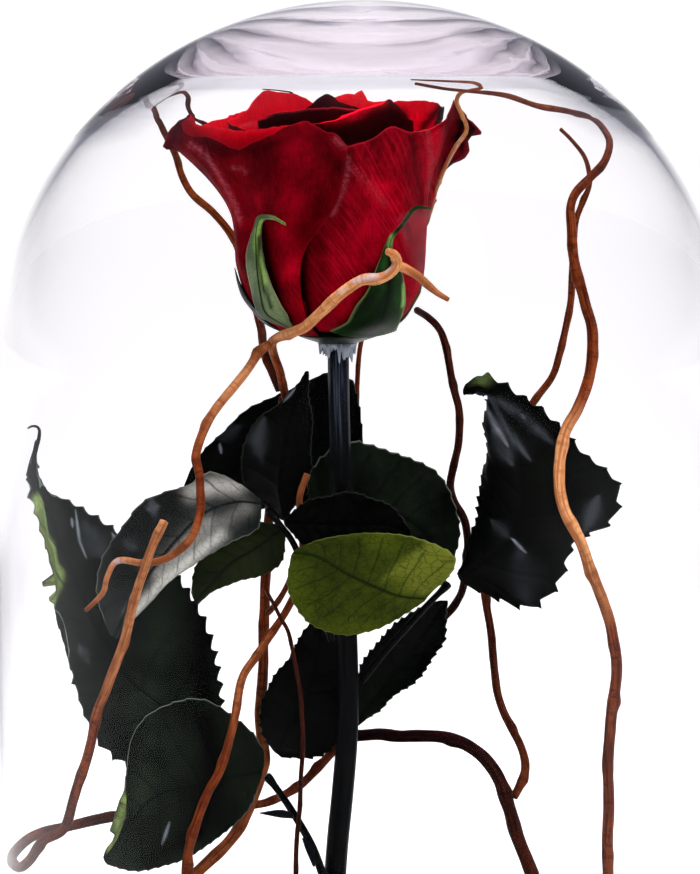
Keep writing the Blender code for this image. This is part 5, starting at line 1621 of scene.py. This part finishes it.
def make_floor():
    """A pale floor that glows evenly behind the object and less in front of it and far aside."""
    mesh = bpy.data.meshes.new("floor")
    far = FLOOR_HALF
    mesh.from_pydata([(-far, -far, 0), (far, -far, 0), (far, far, 0), (-far, far, 0)], [],
                     [(0, 1, 2, 3)])
    floor = in_scene("floor", mesh)
    made, tree, shader = start("pale_floor", 0.75, Specular_IOR_Level=0.1, Emission_Strength=0.93,
                               Emission_Color=(1.0, 1.0, 1.0, 1.0))
    tint = ramp(tree, patches(tree, 3.0, 2.0), (0.3, 0.58), (0.7, 0.60))
    tree.links.new(tint, shader.inputs["Base Color"])
    place = put(tree, "TexCoord").outputs["Object"]
    split = put(tree, "SeparateXYZ", {0: place})
    deep = split.outputs[1]
    share = put(tree, "MapRange", {0: deep, 1: -0.30, 2: 0.25}, interpolation_type="SMOOTHSTEP")
    glow = ramp(tree, share.outputs[0], (0.0, 0.25), (1.0, (1.0, 0.994, 1.0)))
    ahead = put(tree, "MapRange", {0: deep, 1: -1.2, 2: -2.2}).outputs[0]
    aside = maths(tree, "ABSOLUTE", split.outputs[0])
    wide = put(tree, "MapRange", {0: aside, 1: 0.26, 2: 0.42}).outputs[0]
    near = put(tree, "MapRange", {0: deep, 1: 1.25, 2: 0.95}).outputs[0]
    flagged = blend(tree, times(tree, wide, near), glow, (0.28, 0.28, 0.30))
    tree.links.new(blend(tree, ahead, flagged, (0.62, 0.60, 0.66)), shader.inputs["Emission Color"])
    mesh.materials.append(made)


def make_world():
    """A pale room behind the object, darker overhead and on the camera's side."""
    world = bpy.data.worlds.new("studio")
    bpy.context.scene.world = world
    world.use_nodes = True
    tree = world.node_tree
    back = tree.nodes["Background"]
    way = put(tree, "TexCoord").outputs["Generated"]
    split = put(tree, "SeparateXYZ", {0: way})
    high = split.outputs[2]
    front = ramp(tree, split.outputs[1], (0.0, 0.08), (0.25, 1.0))
    aside = maths(tree, "ABSOLUTE", split.outputs[0])
    ceiling = ramp(tree, aside, (0.03, (0.80, 0.79, 0.86)), (0.16, (0.30, 0.30, 0.36)),
                   (0.6, (0.13, 0.14, 0.18)))
    room = blend(tree, ramp(tree, high, (0.05, 0.0), (0.22, 1.0)), (1.07, 1.065, 1.08), ceiling)
    sides = ramp(tree, aside, (0.5, 1.0), (0.85, 0.5))
    tint = blend(tree, 1.0, blend(tree, 1.0, room, front, "MULTIPLY"), sides, "MULTIPLY")
    facing = ramp(tree, times(tree, split.outputs[1], -1.0), (0.86, 0.0), (0.94, 1.0))
    level = ramp(tree, high, (0.10, 1.0), (0.22, 0.0))
    tint = blend(tree, blend(tree, 1.0, facing, level, "MULTIPLY"), tint, (0.62, 0.60, 0.66))
    tree.links.new(tint, back.inputs["Color"])
    back.inputs["Strength"].default_value = 1.0


def make_lights():
    """Large soft lights that face the rose. Only the key light shows in reflections."""
    for name, (place, size, radiance) in SOFTBOXES.items():
        data = bpy.data.lights.new(name, "AREA")
        data.shape = "RECTANGLE"
        data.size, data.size_y = size
        data.energy = radiance * pi * size[0] * size[1]
        made = in_scene(name, data)
        made.location = place
        made.rotation_euler = (LIGHT_AIM - Vector(place)).to_track_quat("-Z", "Y").to_euler()
        made.visible_camera = False
        if name != "key_softbox":
            made.visible_glossy = False
            made.visible_transmission = False


def make_camera():
    """The camera of the front view."""
    data = bpy.data.cameras.new("photo_camera")
    made = in_scene("photo_camera", data)
    data.sensor_fit = "HORIZONTAL"
    data.sensor_width = SENSOR
    data.lens = LENS
    data.clip_start = 0.01
    back = VIEW_DISTANCE * cos(VIEW_ELEVATION)
    high = VIEW_TARGET[1] + VIEW_DISTANCE * sin(VIEW_ELEVATION)
    made.location = (VIEW_TARGET[0] * MILLIMETRE, -back * MILLIMETRE, high * MILLIMETRE)
    made.rotation_euler = (pi / 2 - VIEW_ELEVATION, 0, 0)
    bpy.context.scene.camera = made


def main():
    make_camera()
    bark = bark_material()
    stem = stem_material()
    skins = {name: leaf_material(name, *values) for name, values in SKINS.items()}
    make_base(wood_material())
    make_dome(glass_material())
    make_petals(petal_material())
    make_sepals(skins)
    make_receptacle(skins["hip_skin"])
    make_stem(stem)
    make_leaves(skins)
    make_twigs(bark)
    make_floor()
    make_world()
    make_lights()
    bounces = bpy.context.scene.cycles
    bounces.max_bounces = BOUNCES
    bounces.glossy_bounces = GLOSSY_BOUNCES
    bounces.transmission_bounces = BOUNCES
    view = bpy.context.scene.view_settings
    view.view_transform = "Standard"
    view.look = "None"


main()
